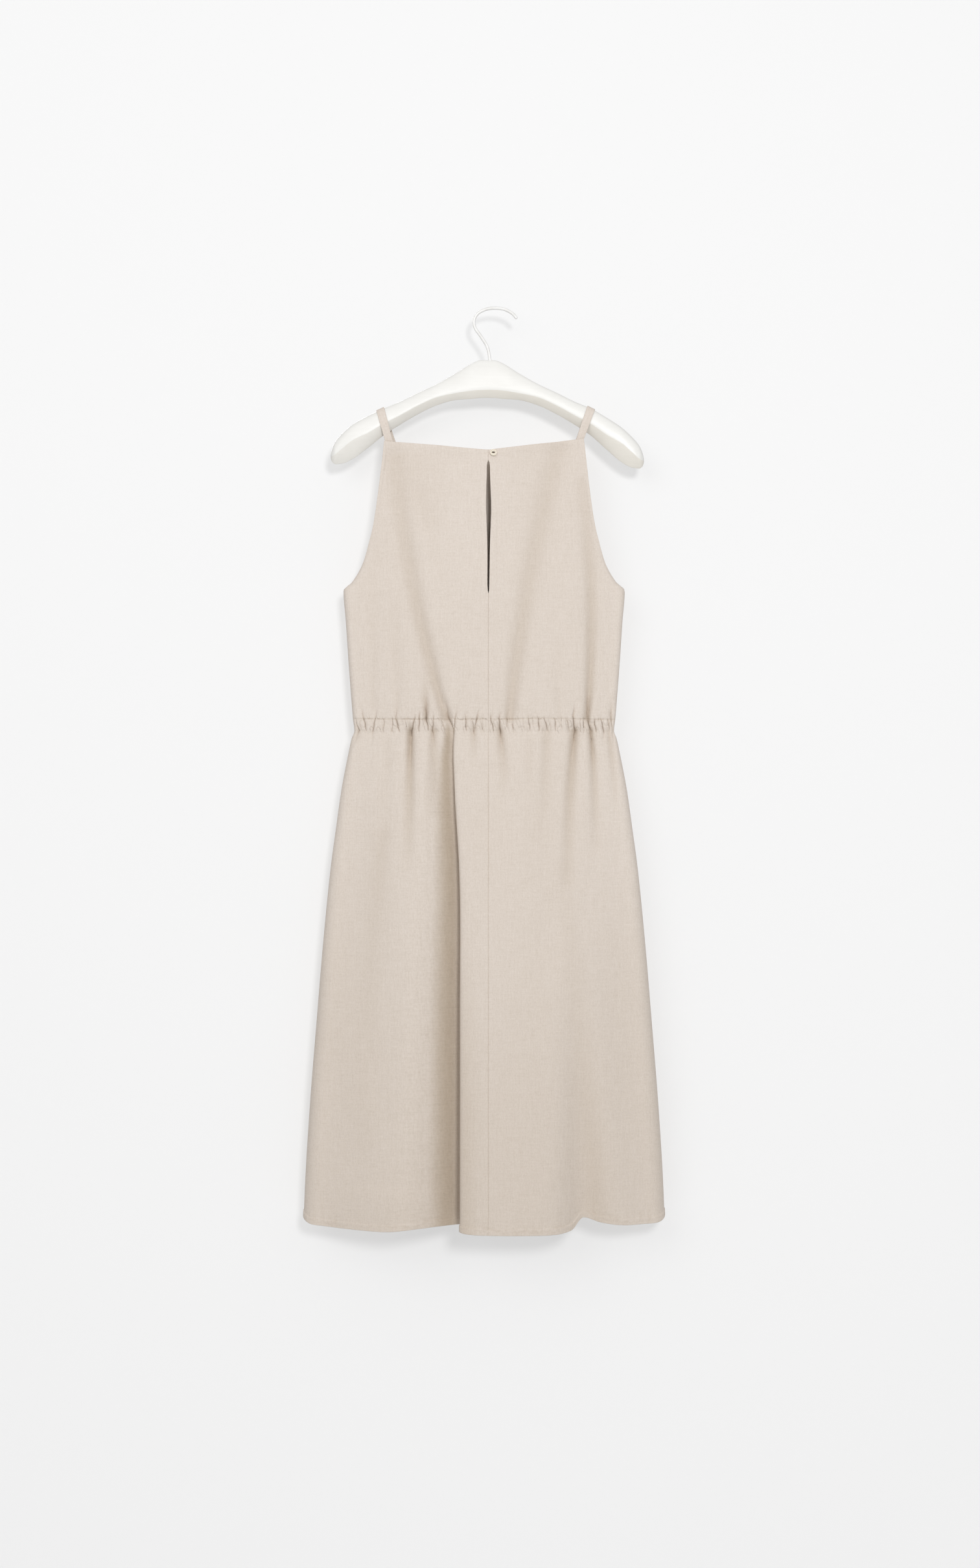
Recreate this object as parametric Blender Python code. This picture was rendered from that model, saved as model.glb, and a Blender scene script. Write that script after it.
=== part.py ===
# A sleeveless linen dress hanging by its straps from a contoured wooden hanger.
# Metres, +Z up. The origin is the top of the inside of the hanger's hook.
# The back of the dress faces -Y and its front faces +Y. Left and right are the
# wearer's, which from behind are also the left and right of the view.

from functools import lru_cache
from math import ceil, copysign, cos, exp, hypot, pi, sin

import bmesh
import bpy
from mathutils import Matrix, Vector

# Cloth
CLOTH = 0.0012
HEM_WALL = 0.0020
HEM_DEPTH = 0.0085
HEM_STEP = 0.0010
SEAM_GAP = 0.0003

# Heights of the dress
UNDERARM = -0.4046
WAIST_SEAM = -0.5878
CASING_STITCH = -0.6045
SLIT_END = -0.4083

# Places across: the dress's middle in the part's frame, and its middle back seam
DRESS_X = -0.0158
BACK_SEAM_X = 0.0060

BACK = -1
FRONT = 1

# Outline and thickness of the dress, from the shoulder corners down to the hem.
# The gape is half of the open armhole between the back's edge and the front's.
# height, half width, back depth, front depth, side radius, gape
SECTIONS = (
    (-0.1800, 0.1419, 0.0130, 0.0130, 0.0100, 0.0100),
    (-0.2530, 0.1502, 0.0140, 0.0140, 0.0105, 0.0100),
    (-0.3088, 0.1581, 0.0152, 0.0152, 0.0105, 0.0090),
    (-0.3367, 0.1646, 0.0158, 0.0158, 0.0102, 0.0078),
    (-0.3646, 0.1725, 0.0165, 0.0165, 0.0096, 0.0058),
    (-0.3925, 0.1883, 0.0170, 0.0170, 0.0090, 0.0022),
    (-0.4046, 0.2009, 0.0172, 0.0172, 0.0085, 0.0000),
    (-0.4483, 0.1976, 0.0178, 0.0178, 0.0085, 0.0000),
    (-0.5041, 0.1939, 0.0184, 0.0182, 0.0085, 0.0000),
    (-0.5599, 0.1897, 0.0188, 0.0184, 0.0085, 0.0000),
    (-0.5878, 0.1874, 0.0182, 0.0180, 0.0085, 0.0000),
    (-0.6045, 0.1855, 0.0182, 0.0180, 0.0085, 0.0000),
    (-0.6157, 0.1893, 0.0208, 0.0195, 0.0095, 0.0000),
    (-0.6343, 0.1934, 0.0240, 0.0215, 0.0105, 0.0000),
    (-0.6901, 0.2041, 0.0315, 0.0255, 0.0130, 0.0000),
    (-0.7459, 0.2120, 0.0375, 0.0285, 0.0150, 0.0000),
    (-0.8017, 0.2195, 0.0425, 0.0310, 0.0165, 0.0000),
    (-0.9133, 0.2306, 0.0500, 0.0350, 0.0190, 0.0000),
    (-1.0249, 0.2399, 0.0555, 0.0380, 0.0205, 0.0000),
    (-1.1365, 0.2488, 0.0600, 0.0400, 0.0215, 0.0000),
    (-1.2481, 0.2558, 0.0635, 0.0415, 0.0220, 0.0000),
    (-1.3300, 0.2590, 0.0650, 0.0420, 0.0220, 0.0000),
)

# Neck edges, by share of the half width from the left seam (-1) to the right (1)
# share, height
BACK_NECK = (
    (-1.00, -0.1897),
    (-0.50, -0.1957),
    (-0.06, -0.2017),
    (0.04, -0.2027),
    (0.14, -0.2010),
    (0.55, -0.1938),
    (1.00, -0.1862),
)
FRONT_NECK = ((-1.0, -0.1897), (-0.5, -0.2010), (0.04, -0.2125), (0.55, -0.1980), (1.0, -0.1862))

# Hems, by the same share
# share, height
BACK_HEM = (
    (-1.00, -1.3000),
    (-0.90, -1.3090),
    (-0.74, -1.3120),
    (-0.54, -1.3126),
    (-0.33, -1.3080),
    (-0.18, -1.3110),
    (0.00, -1.3152),
    (0.37, -1.3155),
    (0.45, -1.3130),
    (0.52, -1.2965),
    (0.61, -1.3030),
    (0.77, -1.3076),
    (0.91, -1.3060),
    (1.00, -1.2980),
)
FRONT_HEM = (
    (-1.00, -1.3000),
    (-0.80, -1.3085),
    (-0.45, -1.3060),
    (-0.10, -1.3110),
    (0.20, -1.3070),
    (0.52, -1.2985),
    (0.85, -1.3050),
    (1.00, -1.2980),
)

# The opening above the middle back seam: how far each side stands from the middle
# height, left side, right side
BACK_SLIT = (
    (-0.2140, 0.0002, 0.0002),
    (-0.2251, 0.0019, 0.0019),
    (-0.2530, 0.0030, 0.0032),
    (-0.2850, 0.0032, 0.0040),
    (-0.3088, 0.0023, 0.0034),
    (-0.3367, 0.0014, 0.0024),
    (-0.3646, 0.0011, 0.0018),
    (-0.3925, 0.0012, 0.0013),
    (-0.4046, 0.0008, 0.0009),
    (SLIT_END, 0.0002, 0.0002),
)

# Soft troughs that press the cloth in, each along a bent line
# top, bottom, x at top, x halfway, x at bottom, half width, depth at top, at bottom
BACK_FOLDS = (
    (-0.1944, -0.5878, -0.1302, -0.0995, -0.0512, 0.010, 0.0025, 0.0080),
    (-0.5441, -0.5878, -0.0837, -0.0832, -0.0828, 0.006, 0.0000, 0.0035),
    (-0.2158, -0.5878, 0.1079, 0.0651, 0.0372, 0.013, 0.0040, 0.0060),
    (-0.2809, -0.5878, 0.1451, 0.1553, 0.1465, 0.009, 0.0020, 0.0055),
    (-0.5600, -0.5878, 0.1815, 0.1805, 0.1800, 0.005, 0.0000, 0.0020),
    (-0.6045, -0.6300, -0.1790, -0.1830, -0.1890, 0.005, 0.0030, 0.0000),
    (-0.6045, -0.7180, -0.1051, -0.1060, -0.1080, 0.007, 0.0060, 0.0000),
    (-0.6045, -0.7000, -0.0725, -0.0740, -0.0760, 0.007, 0.0045, 0.0010),
    (-0.6045, -0.6600, -0.0149, -0.0149, -0.0145, 0.006, 0.0030, 0.0000),
    (-0.6045, -0.6800, 0.0223, 0.0270, 0.0288, 0.007, 0.0040, 0.0000),
    (-0.6045, -0.7600, 0.1293, 0.1215, 0.1180, 0.008, 0.0060, 0.0015),
    (-0.6045, -0.7000, 0.1525, 0.1572, 0.1581, 0.006, 0.0040, 0.0000),
    (-0.6045, -0.7000, 0.1800, 0.1850, 0.1888, 0.005, 0.0030, 0.0000),
    (-0.7800, -1.0000, -0.1620, -0.1646, -0.1640, 0.020, 0.0050, 0.0010),
    (-0.8500, -1.3300, 0.1200, 0.1340, 0.1430, 0.028, 0.0010, 0.0380),
)
FRONT_FOLDS = (
    (-0.2300, -0.5878, -0.0950, -0.0700, -0.0400, 0.014, 0.0010, 0.0050),
    (-0.2100, -0.5878, 0.1180, 0.0850, 0.0620, 0.015, 0.0010, 0.0055),
    (-0.3300, -0.5878, -0.1500, -0.1520, -0.1460, 0.010, 0.0010, 0.0040),
    (-0.5000, -0.5878, 0.0100, 0.0060, 0.0040, 0.007, 0.0000, 0.0030),
    (-0.6045, -0.7200, -0.1350, -0.1380, -0.1400, 0.008, 0.0050, 0.0000),
    (-0.6045, -0.6900, 0.0180, 0.0190, 0.0200, 0.007, 0.0040, 0.0000),
    (-0.6045, -0.7400, 0.0880, 0.0900, 0.0920, 0.008, 0.0060, 0.0000),
    (-0.6045, -0.7000, 0.1500, 0.1540, 0.1580, 0.006, 0.0040, 0.0000),
    (-0.7200, -1.3300, -0.1500, -0.1550, -0.1600, 0.030, 0.0020, 0.0140),
    (-0.8000, -1.3300, 0.0400, 0.0450, 0.0500, 0.034, 0.0010, 0.0160),
    (-0.7800, -1.3300, 0.1650, 0.1720, 0.1800, 0.024, 0.0010, 0.0110),
)
FOLD_FADE = 0.020
# Power of the share at which folds end beside the side seams
FOLD_HOLD = 24

# The one deep fold of the back skirt, whose right side rolls over it
# height, x of its line, half width, depth, lean to the right
DEEP_FOLD = (
    (-0.5600, -0.0500, 0.0060, 0.0000, 0.0000),
    (-0.5878, -0.0510, 0.0060, 0.0020, 0.0020),
    (-0.6045, -0.0525, 0.0070, 0.0100, 0.0070),
    (-0.6500, -0.0590, 0.0100, 0.0220, 0.0160),
    (-0.7300, -0.0625, 0.0140, 0.0350, 0.0270),
    (-0.8000, -0.0626, 0.0160, 0.0420, 0.0340),
    (-1.0000, -0.0685, 0.0200, 0.0520, 0.0440),
    (-1.3300, -0.0736, 0.0230, 0.0620, 0.0506),
)

# Gathers that the elastic makes: full in the casing, fading above and below it
# x, depth, length above the seam, length below the stitching
GATHERS = (
    (-0.1780, 0.0022, 0.018, 0.010),
    (-0.1655, 0.0020, 0.004, 0.008),
    (-0.1555, 0.0022, 0.020, 0.018),
    (-0.1311, 0.0024, 0.020, 0.014),
    (-0.1190, 0.0019, 0.004, 0.010),
    (-0.1035, 0.0024, 0.012, 0.006),
    (-0.0925, 0.0026, 0.024, 0.012),
    (-0.0815, 0.0024, 0.026, 0.008),
    (-0.0700, 0.0024, 0.006, 0.014),
    (-0.0400, 0.0026, 0.022, 0.004),
    (-0.0270, 0.0024, 0.018, 0.006),
    (-0.0150, 0.0022, 0.006, 0.012),
    (-0.0035, 0.0019, 0.016, 0.004),
    (0.0120, 0.0022, 0.018, 0.006),
    (0.0235, 0.0026, 0.018, 0.012),
    (0.0380, 0.0026, 0.014, 0.006),
    (0.0500, 0.0017, 0.004, 0.004),
    (0.0615, 0.0022, 0.016, 0.004),
    (0.0716, 0.0020, 0.004, 0.006),
    (0.0805, 0.0022, 0.012, 0.004),
    (0.0900, 0.0017, 0.004, 0.006),
    (0.1005, 0.0020, 0.004, 0.008),
    (0.1170, 0.0020, 0.004, 0.006),
    (0.1285, 0.0026, 0.020, 0.014),
    (0.1405, 0.0022, 0.004, 0.010),
    (0.1500, 0.0024, 0.018, 0.012),
    (0.1600, 0.0020, 0.004, 0.008),
    (0.1695, 0.0022, 0.016, 0.010),
    (0.1790, 0.0022, 0.020, 0.012),
)
GATHER_HALF_WIDTH = 0.0033
GATHER_REACH = 0.0180

# Rows of the panels. The front has fewer, since it has no slit.
BACK_BODICE_ROWS = (
    -0.2251,
    -0.2530,
    -0.2850,
    -0.3088,
    -0.3367,
    -0.3646,
    -0.3925,
    UNDERARM,
    SLIT_END,
    -0.4280,
    -0.4650,
    -0.5041,
    -0.5400,
)
FRONT_BODICE_ROWS = (
    -0.2530,
    -0.3088,
    -0.3367,
    -0.3646,
    -0.3925,
    UNDERARM,
    -0.4280,
    -0.4850,
    -0.5400,
)
SKIRT_ROWS = (-0.6157, -0.6343, -0.6600, -0.6901, -0.7300)
LOWER_SKIRT_ROWS = 7
STATION_STEP = 0.0150
GATHER_STEP = 0.0080
TURN_LENGTH = 0.012
ROW_SAMPLES = 260

# Hanger: wooden arms in one piece, symmetrical about their middle
ARM_X = -0.0112
# x from the middle, top, ridge, underside, half depth
ARM_SECTIONS = (
    (0.0000, -0.0725, -0.1163, -0.1265, 0.0075),
    (0.0110, -0.0728, -0.1165, -0.1268, 0.0075),
    (0.0205, -0.0763, -0.1172, -0.1279, 0.0075),
    (0.0446, -0.0911, -0.1209, -0.1297, 0.0076),
    (0.0707, -0.1060, -0.1265, -0.1367, 0.0080),
    (0.1004, -0.1200, -0.1395, -0.1507, 0.0086),
    (0.1256, -0.1325, -0.1535, -0.1655, 0.0094),
    (0.1469, -0.1414, -0.1646, -0.1795, 0.0102),
    (0.1711, -0.1553, -0.1813, -0.2009, 0.0112),
    (0.1934, -0.1702, -0.1944, -0.2195, 0.0116),
    (0.2083, -0.1841, -0.2074, -0.2269, 0.0108),
    (0.2178, -0.1953, -0.2150, -0.2280, 0.0088),
    (0.2230, -0.2065, -0.2180, -0.2250, 0.0050),
    (0.2244, -0.2120, -0.2165, -0.2200, 0.0022),
)
ARM_POINTS = 16
ARM_STATION_GAP = 0.018
ARM_SQUARENESS = 2.6

# Hook: a coated wire through these points of its middle line, the first 18 mm deep in the wood
HOOK_WIRE = 0.0045
HOOK_HOLE_RISE = 0.004
# x, height
HOOK_LINE = (
    (-0.0074, -0.0905),
    (-0.0074, -0.0725),
    (-0.0112, -0.0540),
    (-0.0200, -0.0390),
    (-0.0288, -0.0262),
    (-0.0302, -0.0150),
    (-0.0245, -0.0052),
    (-0.0130, 0.0006),
    (0.0000, 0.00225),
    (0.0130, 0.0006),
    (0.0240, -0.0050),
    (0.0307, -0.0121),
)
HOOK_STEPS = 4

# Straps, with their ends sewn behind the neck edges
STRAP_WIDTH = 0.0112
STRAP_WALL = 0.0016
STRAP_SEAT = 0.0005
STRAP_TAIL = 0.0090
CONTACT_ROUNDS = 12
# side, x at the back neck, x on the arm, x at the front neck, from the dress's middle
STRAPS = (
    ("strap_left", -0.1360, -0.1488, -0.1311),
    ("strap_right", 0.1372, 0.1532, 0.1360),
)

# Button on the right side of the slit, and the loop from the left side around it
BUTTON_X = 0.0133
BUTTON_HEIGHT = -0.2073
BUTTON_RADIUS = 0.0049
BUTTON_SHANK = 0.0022
# radius, height above the button's underside
BUTTON_PROFILE = (
    (0.0007, 0.0000),
    (0.0041, 0.0000),
    (BUTTON_RADIUS, 0.0009),
    (BUTTON_RADIUS, 0.0020),
    (0.0045, 0.0026),
    (0.0038, 0.0026),
    (0.0031, 0.0020),
)
# half length, half height, depth
BUTTON_EYE = (0.0024, 0.0014, 0.0008)
BUTTON_SIDES = 24
BUTTON_HOLE_RADIUS = 0.0005
BUTTON_HOLE_LENGTH = 0.0035
BUTTON_HOLE_MIDDLE = 0.0010
BUTTON_HOLE_SPACING = 0.0029
LOOP_WIRE = 0.0014
LOOP_HALF_HEIGHT = 0.0018
LOOP_START_X = 0.0010
LOOP_STEPS = 8

# Cylinders that cut holes: sides, and how far one stands out of a face
CUTTER_SIDES = 16
CUTTER_RISE = 0.001

LINEN = ("linen", (0.640, 0.565, 0.495), 0.90)
HANGER_PAINT = ("hanger_paint", (0.880, 0.870, 0.850), 0.45)
HOOK_COAT = ("hook_coat", (0.860, 0.855, 0.840), 0.35)
SHELL = ("button_shell", (0.680, 0.560, 0.430), 0.30)


def clear_scene():
    for item in list(bpy.data.objects):
        bpy.data.objects.remove(item, do_unlink=True)


def make_material(name, colour, roughness):
    material = bpy.data.materials.get(name) or bpy.data.materials.new(name)
    material.use_nodes = True
    shader = material.node_tree.nodes["Principled BSDF"]
    shader.inputs["Base Color"].default_value = (*colour, 1)
    shader.inputs["Roughness"].default_value = roughness
    shader.inputs["Metallic"].default_value = 0
    material.diffuse_color = (*colour, 1)
    return material


# Adds an object for a mesh, in the scene's collection and with its material.
def add_object(name, mesh, look):
    item = bpy.data.objects.new(name, mesh)
    bpy.context.scene.collection.objects.link(item)
    mesh.materials.append(make_material(*look))
    return item


# Slopes at a table's rows for one of its columns, so that the curve never overshoots.
@lru_cache(maxsize=None)
def column_slopes(table, column):
    rows = sorted(table)
    rises = [(b[column] - a[column]) / (b[0] - a[0]) for a, b in zip(rows, rows[1:])]
    slopes = [rises[0]]
    for before, after in zip(rises, rises[1:]):
        turns = before * after <= 0
        slopes.append(0 if turns else 2 * before * after / (before + after))
    slopes.append(rises[-1])
    return rows, slopes


# Reads a column of a table between its rows, along a smooth curve.
def read_table(table, at, column=1):
    rows, slopes = column_slopes(table, column)
    at = min(max(at, rows[0][0]), rows[-1][0])
    k = 0
    while k < len(rows) - 2 and at > rows[k + 1][0]:
        k += 1
    span = rows[k + 1][0] - rows[k][0]
    part = (at - rows[k][0]) / span
    start = rows[k][column] * (1 + 2 * part) * (1 - part) ** 2
    end = rows[k + 1][column] * (3 - 2 * part) * part**2
    bend = slopes[k] * (1 - part) ** 2 * part + slopes[k + 1] * (part - 1) * part**2
    return start + end + bend * span


@lru_cache(maxsize=None)
def section_at(facing, height):
    depth_column = 2 if facing == BACK else 3
    return tuple(read_table(SECTIONS, height, column) for column in (1, depth_column, 4, 5))


# Half of the way round a section, from the middle to a side seam.
def half_girth(facing, height):
    half_width, _, side, _ = section_at(facing, height)
    return half_width - side + pi / 2 * side


# The flattened tube before any fold: how far across and how far out from its middle plane.
def plain_section(facing, share, height):
    half_width, depth, side, gape = section_at(facing, height)
    flat = half_width - side
    along = abs(share) * half_girth(facing, height)
    if along <= flat:
        bulge = (1 - (along / flat) ** 4) ** 2
        return copysign(along, share), side + (depth - side) * bulge
    angle = (along - flat) / side
    openness = gape / side
    reach = (1 - openness) * sin(angle) + openness * angle * 2 / pi
    return copysign(flat + side * reach, share), gape + (side - gape) * cos(angle)


def soft_trough(fold, x, height):
    top, bottom, x_top, x_halfway, x_bottom, half_width, depth_top, depth_bottom = fold
    beyond = max(height - top, bottom - height, 0)
    if beyond > FOLD_FADE:
        return 0
    down = min(max((top - height) / (top - bottom), 0), 1)
    line = (
        x_top * (1 - down) * (1 - 2 * down)
        + x_halfway * 4 * down * (1 - down)
        + x_bottom * down * (2 * down - 1)
    )
    depth = depth_top + (depth_bottom - depth_top) * down
    fade = (1 - beyond / FOLD_FADE) ** 2
    return depth * fade * exp(-(((x - line) / half_width) ** 2))


def gather_trough(gather, x, height):
    line, depth, above, below = gather
    past_seam = max(height - WAIST_SEAM, 0) / above
    past_stitch = max(CASING_STITCH - height, 0) / below
    kept = max(1 - past_seam - past_stitch, 0)
    return depth * kept**2 * exp(-(((x - line) / GATHER_HALF_WIDTH) ** 2))


# How far folds move a place of the cloth: across, and in from the outside.
def fold_move(facing, x, height):
    across = 0
    inward = sum(soft_trough(fold, x, height) for fold in (BACK_FOLDS, FRONT_FOLDS)[facing > 0])
    # The front's gathers are the back's, seen from the other side
    inward += sum(gather_trough(gather, -facing * x, height) for gather in GATHERS)
    if facing == BACK:
        line, half_width, depth, lean = (read_table(DEEP_FOLD, height, k) for k in (1, 2, 3, 4))
        strength = exp(-(((x - line) / half_width) ** 2))
        across += lean * strength
        inward += depth * strength
    return across, inward


# A point of the cloth's outside.
def cloth_point(facing, share, height):
    x, out = plain_section(facing, share, height)
    across, inward = fold_move(facing, x, height)
    # Folds fade out towards the side seams, where back and front are joined
    hold = 1 - abs(share) ** FOLD_HOLD
    return Vector((DRESS_X + x + across * hold, facing * (out - inward * hold), height))


def cloth_normal(facing, share, height):
    nudge_share = 0.002
    nudge_height = 0.0005
    across = cloth_point(facing, share + nudge_share, height)
    across -= cloth_point(facing, share - nudge_share, height)
    up = cloth_point(facing, share, height + nudge_height)
    up -= cloth_point(facing, share, height - nudge_height)
    return (across.cross(up) * -facing).normalized()


# Share of the way to a side seam of a place at x, on the flat of a section.
def share_of(facing, x, height):
    return x / half_girth(facing, height)


# Places along a row at each gather's line and halfway to the next, with none far apart.
def gathered_stations(facing, height, low, high):
    lines = sorted(share_of(facing, -facing * gather[0], height) for gather in GATHERS)
    lines = [low, *(line for line in lines if low < line < high), high]
    stations = [low]
    for before, after in zip(lines, lines[1:]):
        apart = (after - before) * half_girth(facing, height)
        count = max(ceil(apart / GATHER_STEP), 2)
        stations += [before + (after - before) * n / count for n in range(1, count + 1)]
    return stations


# Places along a row, closer together where the cloth turns.
def row_stations(facing, height_at, low, high):
    shares = [low + (high - low) * k / ROW_SAMPLES for k in range(ROW_SAMPLES + 1)]
    points = [cloth_point(facing, share, height_at(share)) for share in shares]
    steps = [(b - a) for a, b in zip(points, points[1:])]
    measure = [0]
    for k, step in enumerate(steps):
        turn = step.angle(steps[k + 1]) if k + 1 < len(steps) else 0
        measure.append(measure[-1] + step.length + turn * TURN_LENGTH)
    count = max(ceil(measure[-1] / STATION_STEP), 4)
    stations = [low]
    k = 0
    for n in range(1, count):
        wanted = measure[-1] * n / count
        while measure[k + 1] < wanted:
            k += 1
        part = (wanted - measure[k]) / (measure[k + 1] - measure[k])
        stations.append(shares[k] + (shares[k + 1] - shares[k]) * part)
    stations.append(high)
    return stations


# Triangles between two rows of vertices, each with the share where it lies.
def join_rows(mesh, upper, lower):
    i = 0
    j = 0
    while i < len(upper) - 1 or j < len(lower) - 1:
        step_upper = j == len(lower) - 1 or (
            i < len(upper) - 1 and upper[i + 1][0] + upper[i][0] <= lower[j + 1][0] + lower[j][0]
        )
        if step_upper:
            mesh.faces.new((upper[i][1], upper[i + 1][1], lower[j][1]))
            i += 1
        else:
            mesh.faces.new((upper[i][1], lower[j + 1][1], lower[j][1]))
            j += 1


# A cloth panel as one closed wall. Each row has a height along it, a wall thickness,
# and whether the elastic gathers it.
def build_panel(name, facing, rows, left_edge, right_edge):
    mesh = bmesh.new()
    outer_rows = []
    inner_rows = []
    for height_at, wall, gathered in rows:
        ends = left_edge(height_at), right_edge(height_at)
        if gathered:
            stations = gathered_stations(facing, height_at(0), *ends)
        else:
            stations = row_stations(facing, height_at, *ends)
        outer = []
        inner = []
        for share in stations:
            height = height_at(share)
            point = cloth_point(facing, share, height)
            normal = cloth_normal(facing, share, height)
            # The wall goes straight in, so that each row stays level
            normal.z = 0
            normal.normalize()
            outer.append((share, mesh.verts.new(point)))
            inner.append((share, mesh.verts.new(point - normal * wall)))
        outer_rows.append(outer)
        inner_rows.append(inner)
    for surface in (outer_rows, inner_rows):
        for upper, lower in zip(surface, surface[1:]):
            join_rows(mesh, upper, lower)
    for k in (0, -1):
        for a, b, c, d in zip(outer_rows[k], outer_rows[k][1:], inner_rows[k][1:], inner_rows[k]):
            mesh.faces.new([corner[1] for corner in (a, b, c, d)])
        outer_end = [row[k][1] for row in outer_rows]
        inner_end = [row[k][1] for row in inner_rows]
        for a, b, c, d in zip(outer_end, outer_end[1:], inner_end[1:], inner_end):
            mesh.faces.new((a, b, c, d))
    bmesh.ops.recalc_face_normals(mesh, faces=mesh.faces)
    return finish_mesh(name, mesh, LINEN)


def finish_mesh(name, mesh, look, crease=pi * 0.4):
    data = bpy.data.meshes.new(name)
    mesh.to_mesh(data)
    mesh.free()
    data.shade_smooth()
    data.set_sharp_from_angle(angle=crease)
    return add_object(name, data, look)


def side_edge(facing, sign):
    def edge(height_at):
        gap = SEAM_GAP / 2 / half_girth(facing, height_at(sign))
        return sign * (1 - gap)

    return edge


# The middle back edge of a panel: the seam, and above it one side of the slit.
def middle_edge(sign):
    def edge(height_at):
        height = height_at(share_of(BACK, BACK_SEAM_X, WAIST_SEAM))
        away = SEAM_GAP / 2
        if height > SLIT_END:
            away = read_table(BACK_SLIT, height, 1 if sign < 0 else 2)
        return share_of(BACK, BACK_SEAM_X + sign * max(away, SEAM_GAP / 2), height)

    return edge


def level_row(height, gathered=False):
    return (lambda share: height), CLOTH, gathered


# Rows of the bodice, from the neck edge to just above the waist seam.
def bodice_rows(neck, heights):
    rows = [(lambda share: read_table(neck, share), CLOTH, False)]
    rows += [level_row(height) for height in heights]
    rows.append(level_row(WAIST_SEAM + GATHER_REACH))
    rows.append(level_row(WAIST_SEAM + SEAM_GAP / 2, gathered=True))
    return rows


# Rows of the skirt, from just below the waist seam to its hem, which is turned up inside.
def skirt_rows(hem):
    def lowered(part, above_hem=0):
        start = SKIRT_ROWS[-1]
        return lambda share: start + (read_table(hem, share) + above_hem - start) * part

    rows = [level_row(WAIST_SEAM - SEAM_GAP / 2, gathered=True)]
    rows.append(level_row(CASING_STITCH, gathered=True))
    rows += [level_row(height) for height in SKIRT_ROWS]
    rows += [
        (lowered(n / LOWER_SKIRT_ROWS, HEM_DEPTH + HEM_STEP), CLOTH, False)
        for n in range(1, LOWER_SKIRT_ROWS + 1)
    ]
    rows.append((lowered(1, HEM_DEPTH), HEM_WALL, False))
    rows.append((lowered(1), HEM_WALL, False))
    return rows


def build_dress():
    back_bodice = bodice_rows(BACK_NECK, BACK_BODICE_ROWS)
    front_bodice = bodice_rows(FRONT_NECK, FRONT_BODICE_ROWS)
    for part, rows in (("bodice", back_bodice), ("skirt", skirt_rows(BACK_HEM))):
        left_side = side_edge(BACK, -1)
        right_side = side_edge(BACK, 1)
        build_panel(f"back_{part}_left", BACK, rows, left_side, middle_edge(-1))
        build_panel(f"back_{part}_right", BACK, rows, middle_edge(1), right_side)
    for part, rows in (("bodice", front_bodice), ("skirt", skirt_rows(FRONT_HEM))):
        build_panel(f"front_{part}", FRONT, rows, side_edge(FRONT, -1), side_edge(FRONT, 1))


# Point number k round the arm's section at x from its middle, starting at the top.
def arm_point(k, x):
    top, ridge, under, half_depth = (read_table(ARM_SECTIONS, abs(x), n) for n in (1, 2, 3, 4))
    angle = 2 * pi * k / ARM_POINTS
    rise = cos(angle)
    upper = rise > 1e-6
    power = 2 / ARM_SQUARENESS if upper else 1
    reach = top - ridge if upper else ridge - under
    y = -half_depth * copysign(abs(sin(angle)) ** power, sin(angle))
    z = ridge + reach * copysign(abs(rise) ** power, rise)
    return y, z


def build_hanger_arms():
    places = [row[0] for row in ARM_SECTIONS]
    gaps = zip(places, places[1:])
    places += [(a + b) / 2 for a, b in gaps if b - a > ARM_STATION_GAP]
    places = sorted(places + [-x for x in places if x > 0])
    mesh = bmesh.new()
    rings = []
    for x in places:
        points = [arm_point(k, x) for k in range(ARM_POINTS)]
        rings.append([mesh.verts.new((ARM_X + x, y, z)) for y, z in points])
    for ring, after in zip(rings, rings[1:]):
        for k in range(ARM_POINTS):
            n = (k + 1) % ARM_POINTS
            mesh.faces.new((ring[k], ring[n], after[n], after[k]))
    mesh.faces.new(rings[0])
    mesh.faces.new(rings[-1])
    bmesh.ops.recalc_face_normals(mesh, faces=mesh.faces)
    arms = finish_mesh("hanger_arms", mesh, HANGER_PAINT)
    hole_x, hole_bottom = HOOK_LINE[0]
    hole_top = HOOK_LINE[1][1] + HOOK_HOLE_RISE
    hole = add_cutter(
        "hook_hole",
        HOOK_WIRE / 2 + SEAM_GAP,
        hole_top - hole_bottom + SEAM_GAP,
        Matrix.Translation((hole_x, 0, (hole_top + hole_bottom - SEAM_GAP) / 2)),
    )
    cut_away(arms, hole)


# A cylinder that is only used to cut another object.
def add_cutter(name, radius, length, placement, squash=1):
    mesh = bmesh.new()
    bmesh.ops.create_cone(
        mesh, cap_ends=True, segments=CUTTER_SIDES, radius1=radius, radius2=radius, depth=length
    )
    bmesh.ops.scale(mesh, vec=(1, squash, 1), verts=mesh.verts)
    data = bpy.data.meshes.new(name)
    mesh.to_mesh(data)
    mesh.free()
    cutter = bpy.data.objects.new(name, data)
    cutter.matrix_world = placement
    cutter.hide_render = True
    cutter.display_type = "WIRE"
    bpy.context.scene.collection.objects.link(cutter)
    return cutter


def cut_away(item, cutter):
    cut = item.modifiers.new(cutter.name, "BOOLEAN")
    cut.operation = "DIFFERENCE"
    cut.solver = "EXACT"
    cut.object = cutter


# Points of a smooth curve through others, with some steps between each two.
def curve_through(points, steps):
    ends = [2 * points[0] - points[1], *points, 2 * points[-1] - points[-2]]
    line = []
    for a, b, c, d in zip(ends, ends[1:], ends[2:], ends[3:]):
        for n in range(steps):
            t = n / steps
            line.append(
                b
                + (c - a) * t / 2
                + (2 * a - 5 * b + 4 * c - d) * t**2 / 2
                + (3 * b - a - 3 * c + d) * t**3 / 2
            )
    line.append(points[-1])
    return line


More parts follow.
